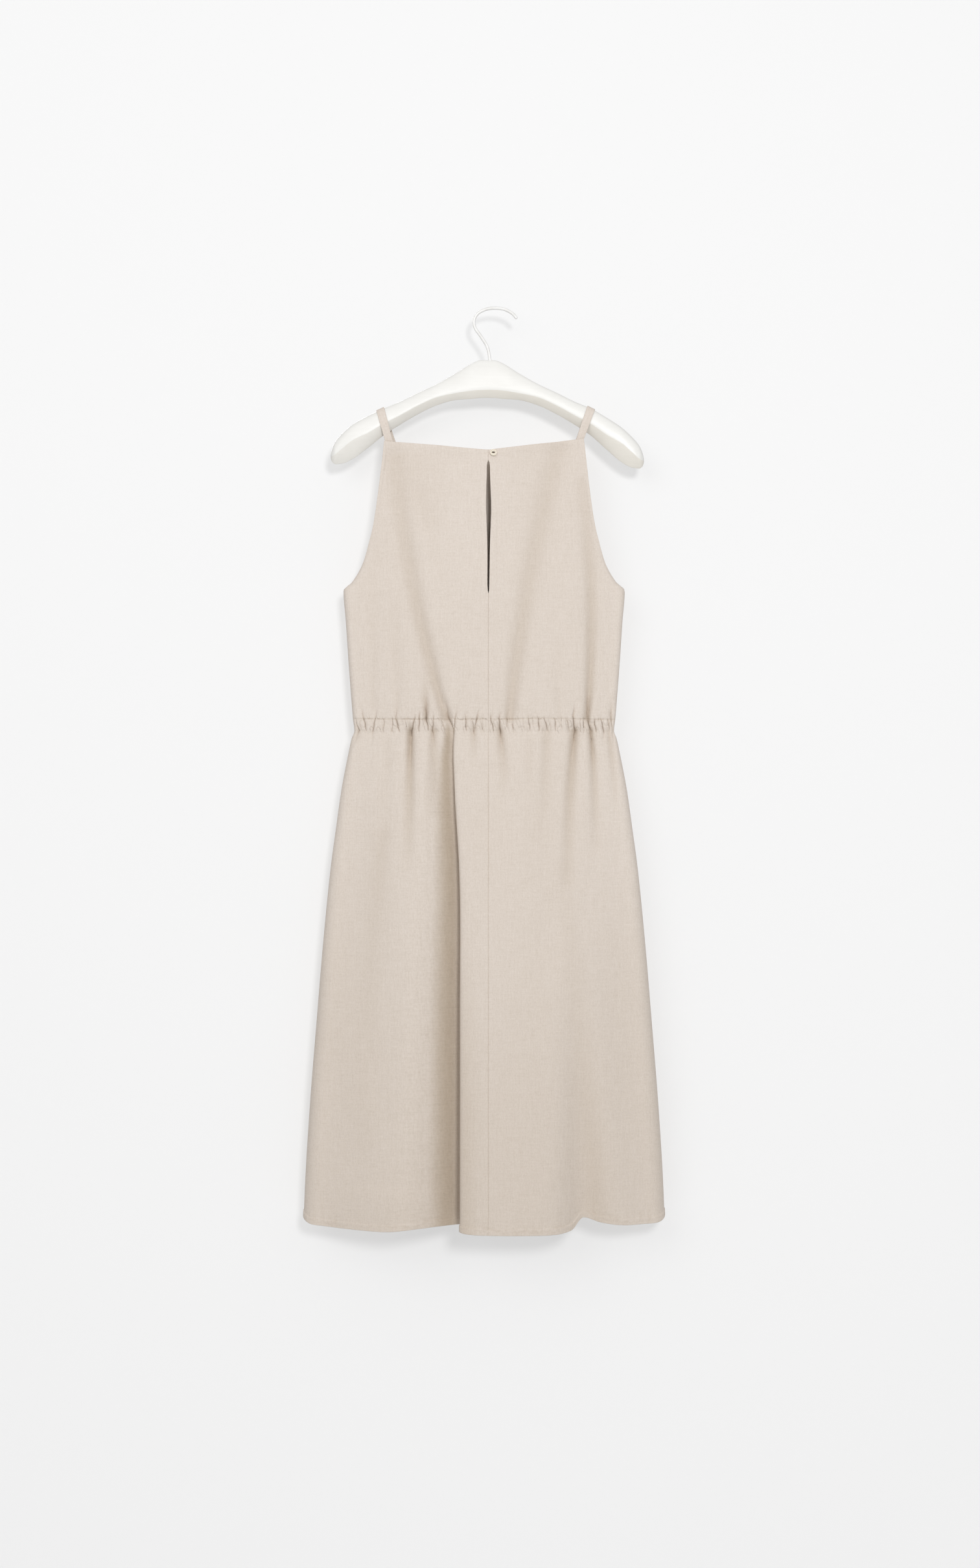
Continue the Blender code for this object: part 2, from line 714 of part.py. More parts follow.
# A round wire with capped ends along a line of points.
def build_wire(name, line, radius, look):
    curve = bpy.data.curves.new(name, "CURVE")
    curve.dimensions = "3D"
    curve.bevel_depth = radius
    curve.bevel_resolution = 2
    curve.use_fill_caps = True
    spline = curve.splines.new("POLY")
    spline.points.add(len(line) - 1)
    for spot, point in zip(spline.points, line):
        spot.co = (*point, 1)
    spline.use_smooth = True
    wire = bpy.data.objects.new(name, curve)
    bpy.context.scene.collection.objects.link(wire)
    curve.materials.append(make_material(*look))
    return wire


def build_hook():
    stem, *rest = [Vector((x, 0, height)) for x, height in HOOK_LINE]
    line = [stem, *curve_through(rest, HOOK_STEPS)]
    build_wire("hanger_hook", line, HOOK_WIRE / 2, HOOK_COAT)


# Where a strap that slants away from the arm's top meets point k of the arm's section.
def strap_contact(k, x_arm, slant):
    _, top = arm_point(0, x_arm)
    x = x_arm
    for _ in range(CONTACT_ROUNDS):
        y, z = arm_point(k, x)
        x = x_arm + (top - z) * slant
    return Vector((ARM_X + x, y, z))


# One edge of a strap: the line of its inner face, from behind the back neck edge
# over the arm to behind the front one.
def strap_rail(x_back, x_arm, x_front, offset):
    arm_x = DRESS_X + x_arm + offset - ARM_X
    _, arm_top = arm_point(0, arm_x)
    ends = {}
    slants = {}
    for facing, neck, x in ((BACK, BACK_NECK, x_back), (FRONT, FRONT_NECK, x_front)):
        share = share_of(facing, x + offset, read_table(neck, copysign(1, x)))
        edge = read_table(neck, share)
        inward = CLOTH + SEAM_GAP + STRAP_WALL
        ends[facing] = []
        for height in (edge, edge - STRAP_TAIL):
            point = cloth_point(facing, share, height)
            # The strap keeps its full width, though the cloth behind it turns
            point.x = DRESS_X + x + offset
            point.y -= facing * inward
            ends[facing].append(point)
        slants[facing] = (ends[facing][0].x - ARM_X - arm_x) / (arm_top - edge)
    quarter = ARM_POINTS // 4
    over_arm = [
        strap_contact(k, arm_x, slants[BACK if k >= 0 else FRONT])
        for k in range(quarter, -quarter - 1, -1)
    ]
    return [ends[BACK][1], ends[BACK][0], *over_arm, ends[FRONT][0], ends[FRONT][1]]


# Directions out from a rail in its own upright plane, scaled to move its sides evenly.
def rail_normals(rail):
    sides = []
    for a, b in zip(rail, rail[1:]):
        length = hypot(b.y - a.y, b.z - a.z)
        sides.append(Vector((0, -(b.z - a.z) / length, (b.y - a.y) / length)))
    normals = [sides[0]]
    for before, after in zip(sides, sides[1:]):
        middle = (before + after).normalized()
        normals.append(middle / middle.dot(before))
    normals.append(sides[-1])
    return normals


def build_strap(name, x_back, x_arm, x_front):
    mesh = bmesh.new()
    columns = []
    for offset in (-STRAP_WIDTH / 2, STRAP_WIDTH / 2):
        rail = strap_rail(x_back, x_arm, x_front, offset)
        normals = rail_normals(rail)
        seats = [STRAP_SEAT if 1 < k < len(rail) - 2 else 0 for k in range(len(rail))]
        inner = [point + normal * seat for point, normal, seat in zip(rail, normals, seats)]
        outer = [point + normal * STRAP_WALL for point, normal in zip(inner, normals)]
        columns.append([mesh.verts.new(point) for point in inner])
        columns.append([mesh.verts.new(point) for point in outer])
    inner_left, outer_left, inner_right, outer_right = columns
    around = (inner_left, outer_left, outer_right, inner_right)
    for column, after in zip(around, (*around[1:], around[0])):
        for a, b, c, d in zip(column, column[1:], after[1:], after):
            mesh.faces.new((a, b, c, d))
    for k in (0, -1):
        mesh.faces.new([column[k] for column in around])
    bmesh.ops.recalc_face_normals(mesh, faces=mesh.faces)
    finish_mesh(name, mesh, LINEN)


# The button's place: on the back's outside, with its face to -Y.
def button_placement():
    share = share_of(BACK, BUTTON_X, BUTTON_HEIGHT)
    seat = cloth_point(BACK, share, BUTTON_HEIGHT)
    return Matrix.Translation(seat + Vector((0, -SEAM_GAP, 0))) @ Matrix.Rotation(pi / 2, 4, "X")


def build_button():
    placement = button_placement()
    eye_half_length, eye_half_height, eye_depth = BUTTON_EYE
    face = BUTTON_SHANK + BUTTON_PROFILE[-1][1]
    # The shank's foot, then the turned outline from the shank out and back to the dish
    outline = [Vector((0, 0, 0)), Vector((BUTTON_PROFILE[0][0], 0, 0))]
    outline += [Vector((radius, 0, BUTTON_SHANK + z)) for radius, z in BUTTON_PROFILE]
    outline.append(Vector((0, 0, face)))
    mesh = bmesh.new()
    spots = [mesh.verts.new(point) for point in outline]
    edges = [mesh.edges.new(pair) for pair in zip(spots, spots[1:])]
    bmesh.ops.spin(
        mesh, geom=spots + edges, axis=(0, 0, 1), cent=(0, 0, 0), angle=2 * pi, steps=BUTTON_SIDES
    )
    bmesh.ops.remove_doubles(mesh, verts=mesh.verts, dist=1e-6)
    bmesh.ops.recalc_face_normals(mesh, faces=mesh.faces)
    button = finish_mesh("button", mesh, SHELL)
    button.matrix_world = placement
    eye = add_cutter(
        "button_eye",
        eye_half_length,
        eye_depth + CUTTER_RISE,
        placement @ Matrix.Translation((0, 0, face + (CUTTER_RISE - eye_depth) / 2)),
        eye_half_height / eye_half_length,
    )
    cut_away(button, eye)
    for side in (-1, 1):
        middle = (side * BUTTON_HOLE_SPACING / 2, 0, face - BUTTON_HOLE_MIDDLE)
        spot = placement @ Matrix.Translation(middle)
        hole = add_cutter(f"button_hole_{side}", BUTTON_HOLE_RADIUS, BUTTON_HOLE_LENGTH, spot)
        cut_away(button, hole)


# The loop runs out from the slit's left side, round the button's shank and back.
def build_button_loop():
    placement = button_placement()
    lift = LOOP_WIRE / 2
    reach = DRESS_X + LOOP_START_X - placement.translation.x
    line = [Vector((reach, LOOP_HALF_HEIGHT, lift))]
    for n in range(LOOP_STEPS + 1):
        angle = pi / 2 - pi * n / LOOP_STEPS
        turn = Vector((cos(angle) * LOOP_HALF_HEIGHT, sin(angle) * LOOP_HALF_HEIGHT, lift))
        line.append(turn)
    line.append(Vector((reach, -LOOP_HALF_HEIGHT, lift)))
    build_wire("button_loop", [placement @ point for point in line], LOOP_WIRE / 2, LINEN)


clear_scene()
build_dress()
build_hanger_arms()
build_hook()
for strap in STRAPS:
    build_strap(*strap)
build_button()
build_button_loop()
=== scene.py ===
import bpy
import numpy as np
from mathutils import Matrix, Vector


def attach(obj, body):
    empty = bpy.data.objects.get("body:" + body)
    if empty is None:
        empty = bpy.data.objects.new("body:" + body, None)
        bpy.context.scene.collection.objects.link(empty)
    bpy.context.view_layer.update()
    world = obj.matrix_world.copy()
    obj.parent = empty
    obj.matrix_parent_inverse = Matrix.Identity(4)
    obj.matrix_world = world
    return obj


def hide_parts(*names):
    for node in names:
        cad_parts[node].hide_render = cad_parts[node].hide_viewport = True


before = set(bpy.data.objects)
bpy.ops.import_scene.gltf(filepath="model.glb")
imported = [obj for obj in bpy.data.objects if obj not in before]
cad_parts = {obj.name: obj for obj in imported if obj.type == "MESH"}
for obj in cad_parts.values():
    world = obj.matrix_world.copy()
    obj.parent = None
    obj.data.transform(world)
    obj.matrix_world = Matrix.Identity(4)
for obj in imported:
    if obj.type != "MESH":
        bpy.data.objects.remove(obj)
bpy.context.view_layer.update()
print("frame loaded")

back, front = -1, 1
dressX = -0.0158
backSeamX = 0.0060
underarm = -0.4046
waistSeam = -0.5878
casingStitch = -0.6045
slitEnd = -0.4083

# height, half width, back depth, front depth, side radius, gape
sections = (
    (-0.1800, 0.1419, 0.0130, 0.0130, 0.0100, 0.0100),
    (-0.2530, 0.1502, 0.0140, 0.0140, 0.0105, 0.0100),
    (-0.3088, 0.1581, 0.0152, 0.0152, 0.0105, 0.0090),
    (-0.3367, 0.1646, 0.0158, 0.0158, 0.0102, 0.0078),
    (-0.3646, 0.1725, 0.0165, 0.0165, 0.0096, 0.0058),
    (-0.3925, 0.1883, 0.0170, 0.0170, 0.0090, 0.0022),
    (-0.4046, 0.2009, 0.0172, 0.0172, 0.0085, 0.0000),
    (-0.4483, 0.1976, 0.0178, 0.0178, 0.0085, 0.0000),
    (-0.5041, 0.1939, 0.0184, 0.0182, 0.0085, 0.0000),
    (-0.5599, 0.1897, 0.0188, 0.0184, 0.0085, 0.0000),
    (-0.5878, 0.1874, 0.0182, 0.0180, 0.0085, 0.0000),
    (-0.6045, 0.1855, 0.0182, 0.0180, 0.0085, 0.0000),
    (-0.6157, 0.1893, 0.0208, 0.0195, 0.0095, 0.0000),
    (-0.6343, 0.1934, 0.0240, 0.0215, 0.0105, 0.0000),
    (-0.6901, 0.2041, 0.0315, 0.0255, 0.0130, 0.0000),
    (-0.7459, 0.2120, 0.0375, 0.0285, 0.0150, 0.0000),
    (-0.8017, 0.2195, 0.0425, 0.0310, 0.0165, 0.0000),
    (-0.9133, 0.2306, 0.0500, 0.0350, 0.0190, 0.0000),
    (-1.0249, 0.2399, 0.0555, 0.0380, 0.0205, 0.0000),
    (-1.1365, 0.2488, 0.0600, 0.0400, 0.0215, 0.0000),
    (-1.2481, 0.2558, 0.0635, 0.0415, 0.0220, 0.0000),
    (-1.3300, 0.2590, 0.0650, 0.0420, 0.0220, 0.0000),
)

# share of the half width, height
backNeck = (
    (-1.00, -0.1897), (-0.50, -0.1957), (-0.06, -0.2017), (0.04, -0.2027),
    (0.14, -0.2010), (0.55, -0.1938), (1.00, -0.1862),
)
frontNeck = ((-1.0, -0.1897), (-0.5, -0.2010), (0.04, -0.2125), (0.55, -0.1980), (1.0, -0.1862))
backHem = (
    (-1.00, -1.3000), (-0.90, -1.3090), (-0.74, -1.3120), (-0.54, -1.3126), (-0.33, -1.3080),
    (-0.18, -1.3110), (0.00, -1.3152), (0.37, -1.3155), (0.45, -1.3130), (0.52, -1.2965),
    (0.61, -1.3030), (0.77, -1.3076), (0.91, -1.3060), (1.00, -1.2980),
)
frontHem = (
    (-1.00, -1.3000), (-0.80, -1.3085), (-0.45, -1.3060), (-0.10, -1.3110),
    (0.20, -1.3070), (0.52, -1.2985), (0.85, -1.3050), (1.00, -1.2980),
)

# height, left side, right side
backSlit = (
    (-0.1900, 0.00003, 0.00003),
    (-0.2180, 0.00004, 0.00004),
    (-0.2212, 0.0013, 0.0015),
    (-0.2245, 0.0019, 0.0021),
    (-0.2400, 0.0022, 0.0025),
    (-0.2530, 0.0028, 0.0030),
    (-0.2850, 0.0032, 0.0040),
    (-0.3088, 0.0023, 0.0034),
    (-0.3367, 0.0014, 0.0024),
    (-0.3646, 0.0011, 0.0018),
    (-0.3925, 0.0012, 0.0013),
    (-0.4046, 0.0008, 0.0009),
    (-0.4083, 0.0002, 0.0002),
)

# Soft troughs: top, bottom, x at top, halfway, at bottom, half width, depth at top, at bottom
backFolds = (
    (-0.2100, -0.5878, -0.1290, -0.1010, -0.0545, 0.0115, 0.0035, 0.0080),
    (-0.5200, -0.5878, -0.0850, -0.0840, -0.0832, 0.006, 0.0004, 0.0050),
    (-0.2000, -0.5878, 0.1060, 0.0634, 0.0365, 0.0130, 0.0042, 0.0072),
    (-0.2500, -0.5878, 0.1400, 0.1530, 0.1470, 0.0085, 0.0024, 0.0070),
    (-0.5600, -0.5878, 0.1815, 0.1805, 0.1800, 0.005, 0.0000, 0.0020),
    (-0.6045, -0.6300, -0.1790, -0.1830, -0.1890, 0.005, 0.0030, 0.0000),
    (-0.6045, -0.7900, -0.1051, -0.1060, -0.1080, 0.007, 0.0078, 0.0014),
    (-0.6045, -0.7300, -0.0725, -0.0740, -0.0760, 0.007, 0.0052, 0.0010),
    (-0.6045, -0.6600, -0.0149, -0.0149, -0.0145, 0.006, 0.0030, 0.0000),
    (-0.6045, -0.7000, 0.0223, 0.0270, 0.0288, 0.007, 0.0052, 0.0004),
    (-0.6045, -0.8200, 0.1293, 0.1215, 0.1180, 0.008, 0.0074, 0.0022),
    (-0.6045, -0.7600, 0.0890, 0.0850, 0.0800, 0.008, 0.0032, 0.0008),
    (-0.6045, -0.7700, 0.1525, 0.1572, 0.1581, 0.006, 0.0056, 0.0010),
    (-0.6045, -0.7200, 0.1780, 0.1840, 0.1880, 0.005, 0.0036, 0.0004),
    (-0.7200, -1.2500, -0.1600, -0.1500, -0.1420, 0.034, 0.0010, 0.0030),
    (-0.9500, -1.3300, 0.1250, 0.1360, 0.1440, 0.024, 0.0000, 0.0260),
    # Faint upright waves of the bodice and the upper skirt
    (-0.3000, -0.5700, -0.1560, -0.1600, -0.1580, 0.009, 0.0004, 0.0016),
    (-0.4100, -0.5700, -0.1290, -0.1260, -0.1240, 0.008, 0.0004, 0.0018),
    (-0.4600, -0.5800, 0.1000, 0.1040, 0.1060, 0.008, 0.0003, 0.0015),
    (-0.2600, -0.4200, -0.0960, -0.0700, -0.0520, 0.012, 0.0016, 0.0004),
    (-0.6200, -0.8200, 0.0640, 0.0650, 0.0660, 0.010, 0.0020, 0.0004),
    (-0.6200, -0.9500, 0.0960, 0.0900, 0.0860, 0.014, 0.0016, 0.0012),
    (-0.6200, -0.8600, -0.1380, -0.1420, -0.1480, 0.010, 0.0016, 0.0006),
)
frontFolds = (
    (-0.2300, -0.5878, -0.0950, -0.0700, -0.0400, 0.014, 0.0010, 0.0050),
    (-0.2100, -0.5878, 0.1180, 0.0850, 0.0620, 0.015, 0.0010, 0.0055),
    (-0.3300, -0.5878, -0.1500, -0.1520, -0.1460, 0.010, 0.0010, 0.0040),
    (-0.5000, -0.5878, 0.0100, 0.0060, 0.0040, 0.007, 0.0000, 0.0030),
    (-0.6045, -0.7200, -0.1350, -0.1380, -0.1400, 0.008, 0.0050, 0.0000),
    (-0.6045, -0.6900, 0.0180, 0.0190, 0.0200, 0.007, 0.0040, 0.0000),
    (-0.6045, -0.7400, 0.0880, 0.0900, 0.0920, 0.008, 0.0060, 0.0000),
    (-0.6045, -0.7000, 0.1500, 0.1540, 0.1580, 0.006, 0.0040, 0.0000),
    (-0.7200, -1.3300, -0.1500, -0.1550, -0.1600, 0.030, 0.0020, 0.0140),
    (-0.8000, -1.3300, 0.0400, 0.0450, 0.0500, 0.034, 0.0010, 0.0160),
    (-0.7800, -1.3300, 0.1650, 0.1720, 0.1800, 0.024, 0.0010, 0.0110),
)
# Faint bands of painted shade, with their strength in place of a depth
paintedShadeBands = (
    (-0.7500, -1.2000, -0.1460, -0.1620, -0.1700, 0.016, 0.2400, 0.1200),
    (-0.8000, -1.3300, 0.1120, 0.1380, 0.1600, 0.018, 0.1200, 0.4800),
    (-0.2100, -0.3100, -0.0980, -0.0850, -0.0700, 0.034, 0.1700, 0.1200),
    (-1.2200, -1.3300, -0.1000, -0.1050, -0.1100, 0.060, 0.0400, 0.1600),
)
foldFade = 0.020
seamHalfGap = 0.00003

# height, x of its line, half width, depth, lean to the right
deepFold = (
    (-0.5600, -0.0500, 0.0060, 0.0000, 0.0000),
    (-0.5878, -0.0510, 0.0060, 0.0020, 0.0020),
    (-0.6045, -0.0525, 0.0070, 0.0090, 0.0070),
    (-0.6500, -0.0590, 0.0105, 0.0155, 0.0155),
    (-0.7300, -0.0625, 0.0145, 0.0225, 0.0262),
    (-0.8000, -0.0626, 0.0168, 0.0270, 0.0330),
    (-1.0000, -0.0685, 0.0210, 0.0355, 0.0425),
    (-1.3300, -0.0736, 0.0240, 0.0475, 0.0490),
)

# Creases that the elastic makes. x above the seam, at the seam, at the stitching, below it,
# length above the seam, length below the stitching, depth above, in the casing, below
casingCreases = (
    (-0.1850, -0.1840, -0.1786, -0.1890, 0.004, 0.022, 0.0006, 0.0026, 0.0034),
    (-0.1775, -0.1723, -0.1685, -0.1680, 0.018, 0.008, 0.0022, 0.0026, 0.0012),
    (-0.1516, -0.1553, -0.1584, -0.1612, 0.018, 0.026, 0.0018, 0.0028, 0.0020),
    (-0.1330, -0.1420, -0.1437, -0.1440, 0.003, 0.004, 0.0006, 0.0012, 0.0008),
    (-0.1300, -0.1305, -0.1313, -0.1310, 0.004, 0.012, 0.0006, 0.0018, 0.0014),
    (-0.1246, -0.1258, -0.1212, -0.1190, 0.022, 0.005, 0.0022, 0.0030, 0.0008),
    (-0.1120, -0.1130, -0.1095, -0.1085, 0.003, 0.003, 0.0003, 0.0014, 0.0006),
    (-0.0995, -0.0988, -0.1028, -0.1060, 0.014, 0.060, 0.0012, 0.0032, 0.0046),
    (-0.0925, -0.0918, -0.0928, -0.0935, 0.014, 0.014, 0.0030, 0.0026, 0.0016),
    (-0.0832, -0.0828, -0.0794, -0.0785, 0.036, 0.003, 0.0038, 0.0030, 0.0006),
    (-0.0732, -0.0716, -0.0732, -0.0698, 0.011, 0.028, 0.0018, 0.0022, 0.0026),
    (-0.0600, -0.0610, -0.0590, -0.0585, 0.003, 0.016, 0.0004, 0.0014, 0.0018),
    (-0.0560, -0.0520, -0.0462, -0.0445, 0.030, 0.010, 0.0034, 0.0036, 0.0030),
    (-0.0383, -0.0414, -0.0445, -0.0452, 0.020, 0.014, 0.0020, 0.0034, 0.0040),
    (-0.0262, -0.0267, -0.0259, -0.0255, 0.012, 0.004, 0.0018, 0.0026, 0.0006),
    (-0.0170, -0.0160, -0.0144, -0.0138, 0.003, 0.030, 0.0005, 0.0018, 0.0020),
    (-0.0058, -0.0106, -0.0136, -0.0140, 0.014, 0.010, 0.0028, 0.0022, 0.0010),
    (-0.0020, -0.0019, -0.0022, -0.0022, 0.003, 0.003, 0.0004, 0.0013, 0.0004),
    (0.0096, 0.0090, 0.0134, 0.0165, 0.008, 0.014, 0.0018, 0.0028, 0.0014),
    (0.0240, 0.0211, 0.0230, 0.0292, 0.009, 0.040, 0.0026, 0.0034, 0.0036),
    (0.0360, 0.0323, 0.0332, 0.0335, 0.012, 0.006, 0.0018, 0.0016, 0.0006),
    (0.0395, 0.0400, 0.0423, 0.0430, 0.003, 0.004, 0.0005, 0.0015, 0.0005),
    (0.0540, 0.0552, 0.0580, 0.0574, 0.003, 0.008, 0.0004, 0.0013, 0.0008),
    (0.0606, 0.0632, 0.0656, 0.0660, 0.012, 0.004, 0.0014, 0.0022, 0.0008),
    (0.0741, 0.0688, 0.0712, 0.0706, 0.014, 0.003, 0.0012, 0.0011, 0.0004),
    (0.0765, 0.0772, 0.0784, 0.0778, 0.005, 0.008, 0.0008, 0.0028, 0.0010),
    (0.0850, 0.0856, 0.0904, 0.0920, 0.005, 0.007, 0.0008, 0.0024, 0.0008),
    (0.0930, 0.0925, 0.0965, 0.0955, 0.003, 0.003, 0.0003, 0.0010, 0.0004),
    (0.0985, 0.1004, 0.1020, 0.1015, 0.006, 0.008, 0.0008, 0.0024, 0.0010),
    (0.1075, 0.1100, 0.1110, 0.1110, 0.010, 0.003, 0.0012, 0.0012, 0.0004),
    (0.1190, 0.1180, 0.1216, 0.1222, 0.003, 0.009, 0.0006, 0.0020, 0.0012),
    (0.1299, 0.1265, 0.1295, 0.1240, 0.024, 0.045, 0.0030, 0.0028, 0.0040),
    (0.1380, 0.1375, 0.1380, 0.1382, 0.004, 0.008, 0.0008, 0.0016, 0.0010),
    (0.1410, 0.1415, 0.1423, 0.1420, 0.003, 0.010, 0.0006, 0.0024, 0.0012),
    (0.1480, 0.1477, 0.1516, 0.1580, 0.040, 0.058, 0.0042, 0.0034, 0.0046),
    (0.1560, 0.1578, 0.1601, 0.1612, 0.006, 0.022, 0.0012, 0.0026, 0.0022),
    (0.1660, 0.1671, 0.1712, 0.1718, 0.005, 0.026, 0.0010, 0.0026, 0.0034),
    (0.1745, 0.1764, 0.1795, 0.1798, 0.004, 0.004, 0.0008, 0.0022, 0.0008),
    (0.1822, 0.1816, 0.1840, 0.1885, 0.030, 0.062, 0.0040, 0.0026, 0.0040),
)
creaseSettings = {
    "halfWidth": 0.0012,
    "strength": 1.85,
    "extraAbove": 0.003,
    "extraBelow": 0.004,
    "wander": 0.00035,
    # Share of its depth in the casing that a crease keeps where it leaves it
    "held": 0.45,
    "widerAbove": 1.6,
    "widerBelow": 2.6,
    "steepness": 0.45,
    "softerBelow": 0.45,
}


# Smooth curve through one column of a table, that never overshoots its rows
def readTable(table, at, column=1):
    rows = np.array(sorted(table), float)
    x, y = rows[:, 0], rows[:, column]
    rise = np.diff(y) / np.diff(x)
    slope = np.concatenate(([rise[0]], np.zeros(len(x) - 2), [rise[-1]]))
    same = rise[:-1] * rise[1:] > 0
    total = np.where(same, rise[:-1] + rise[1:], 1)
    slope[1:-1] = np.where(same, 2 * rise[:-1] * rise[1:] / total, 0)
    at = np.clip(at, x[0], x[-1])
    k = np.clip(np.searchsorted(x, at, side="right") - 1, 0, len(x) - 2)
    span = x[k + 1] - x[k]
    part = (at - x[k]) / span
    level = y[k] * (1 + 2 * part) * (1 - part) ** 2 + y[k + 1] * (3 - 2 * part) * part**2
    bend = slope[k] * (1 - part) ** 2 * part + slope[k + 1] * (part - 1) * part**2
    return level + bend * span


def smoothStep(low, high, value):
    part = np.clip((value - low) / (high - low), 0, 1)
    return part * part * (3 - 2 * part)


def hump(away, reach, power=2):
    return np.exp(-((away / reach) ** power))


# Two shades one over the other
def overlay(shade, more):
    return 1 - (1 - shade) * (1 - more)


# Distance of each point from the first, along the line
def lengthAlong(line):
    return np.concatenate(([0], np.cumsum(np.linalg.norm(np.diff(line, axis=0), axis=1))))

# Smooth random waves, about one for each size of cloth
def softNoise(x, z, sizeX, sizeZ, seed):
    lattice = np.random.RandomState(seed).uniform(-1, 1, (64, 64))
    u, v = x / sizeX, z / sizeZ
    i, j = np.floor(u).astype(int), np.floor(v).astype(int)
    s, t = u - i, v - j
    s, t = s * s * (3 - 2 * s), t * t * (3 - 2 * t)
    low = lattice[i % 64, j % 64] * (1 - s) + lattice[(i + 1) % 64, j % 64] * s
    high = lattice[i % 64, (j + 1) % 64] * (1 - s) + lattice[(i + 1) % 64, (j + 1) % 64] * s
    return low * (1 - t) + high * t


def halfGirth(height):
    side = readTable(sections, height, 4)
    return readTable(sections, height, 1) + (np.pi / 2 - 1) * side


# The flattened tube before any fold: how far across and how far out
def plainSection(facing, share, height):
    halfWidth = readTable(sections, height, 1)
    depth = readTable(sections, height, 2 if facing == back else 3)
    side = readTable(sections, height, 4)
    gape = readTable(sections, height, 5)
    flat = halfWidth - side
    along = np.abs(share) * halfGirth(height)
    bulge = (1 - np.clip(along / flat, 0, 1) ** 4) ** 2
    angle = np.clip((along - flat) / side, 0, np.pi / 2)
    openness = gape / side
    reach = (1 - openness) * np.sin(angle) + openness * angle * 2 / np.pi
    onFlat = along <= flat
    across = np.where(onFlat, along, flat + side * reach)
    out = np.where(onFlat, side + (depth - side) * bulge, gape + (side - gape) * np.cos(angle))
    return np.copysign(across, share), out


def softTrough(fold, x, height):
    top, bottom, xTop, xHalfway, xBottom, halfWidth, depthTop, depthBottom = fold
    beyond = np.maximum(np.maximum(height - top, bottom - height), 0)
    down = np.clip((top - height) / (top - bottom), 0, 1)
    line = xTop * (1 - down) * (1 - 2 * down)
    line += xHalfway * 4 * down * (1 - down) + xBottom * down * (2 * down - 1)
    depth = depthTop + (depthBottom - depthTop) * down
    fade = np.clip(1 - beyond / foldFade, 0, 1) ** 2
    # Folds narrow towards the waist
    spread = 1.2 - 0.6 * down**2 if top > waistSeam else 0.8 + 0.5 * down
    return depth * fade * hump(x - line, halfWidth * spread)


# From 0 at the waist seam to 1 at the casing's stitching
def insideCasing(height):
    return np.clip((waistSeam - height) / (waistSeam - casingStitch), 0, 1)


# A crease of the casing: sharp at its bottom, wider as it runs out above and below
def creaseTrough(crease, x, height):
    s = creaseSettings
    xAbove, xSeam, xStitch, xBelow, above, below, depthAbove, depthIn, depthBelow = crease
    pastSeam = np.maximum(height - waistSeam, 0) / (above + s["extraAbove"])
    pastStitch = np.maximum(casingStitch - height, 0) / (below + s["extraBelow"])
    inside = insideCasing(height)
    line = xSeam + (xStitch - xSeam) * inside + (xAbove - xSeam) * np.minimum(pastSeam, 1)
    line += (xBelow - xStitch) * np.minimum(pastStitch, 1)
    line += s["wander"] * np.sin(height * 420 + xSeam * 5000)
    pinch = np.sin(np.pi * inside) ** 2
    atSeam = np.where(inside < 0.5, depthAbove, depthBelow)
    held = depthIn * s["held"]
    depth = depthIn * pinch + np.maximum(atSeam, held) * (1 - pinch)
    depth = np.where(pastSeam > 0, np.maximum(depthAbove, held * (1 - pastSeam)), depth)
    depth = np.where(pastStitch > 0, np.maximum(depthBelow, held * (1 - pastStitch)), depth)
    kept = np.clip(1 - pastSeam - pastStitch, 0, 1) ** 1.3
    wider = 1 + s["widerAbove"] * np.minimum(pastSeam, 1)
    wider = wider + s["widerBelow"] * np.minimum(pastStitch, 1)
    halfWidth = s["halfWidth"] * wider * (1 + 60 * np.clip(depthIn - 0.0016, 0, 1))
    # One side of a crease is steeper than the other
    lean = s["steepness"] * np.sin(xSeam * 900)
    away = (x - line) / (halfWidth * (1 + lean * np.sign(x - line)))
    strength = s["strength"] * (0.75 + 0.25 * smoothStep(0.0016, 0.0028, depthIn))
    # Below the casing it opens into a soft fold
    strength = strength * (1 - s["softerBelow"] * np.minimum(6 * pastStitch, 1))
    return strength * depth * kept * np.exp(-(np.abs(away) ** 1.4))


# How far the waist seam and the casing's stitching wander up and down
def seamWave(facing, x):
    short = 0.0005 * softNoise(x, 0 * x, 0.009, 1, 71 + facing)
    return short + 0.0006 * softNoise(x, 0 * x, 0.034, 1, 75 + facing)


def stitchingAt(facing, share):
    return casingStitch + 0.6 * seamWave(facing, share * halfGirth(casingStitch))


# shift of x, size across, size along, seed, depth
clothWaves = (
    (0.0, 0.030, 0.110, 11, 0.0007),
    (0.3, 0.085, 0.260, 17, 0.0016),
    (0.0, 0.007, 0.011, 23, 0.00022),
)
foldSettings = {
    # A fold's painted shade is darkest when the fold is this deep, as a share of its half width
    "darkest": 0.92,
    "foldContrast": 1.15,
    "openFolds": (-0.98, -0.80),
    "casingMiddle": -0.5965,
    "casingReach": 0.0125,
    "wrinkleDepth": 0.0013,
    "wrinkleShare": 0.22,
    "elasticSwell": 0.0007,
    "creaseShade": 0.42,
    "creaseShadeInCasing": 0.50,
    "darkCrease": 0.0046,
    "broadShade": 0.07,
    "broadChange": 0.10,
    "lowShade": 0.36,
    "lowShadeHeights": (-1.25, -0.64),
    "puckerPlace": 0.0068,
    "puckerReach": 0.0075,
    "puckerShare": 0.30,
    "puckerDepth": 0.00045,
    "puckerShade": 0.42,
    "seamReach": 0.0013,
    "seamDepth": 0.0009,
    "seamShade": 0.7,
    "middleReach": 0.0008,
    "middleDepth": 0.0005,
    "middleShade": 0.8,
    "lipPlace": 1.9,
    "lipReach": 0.016,
    "lipShade": 0.62,
    "lipHeights": (-1.30, -0.75),
    "soft": 0.72,
}
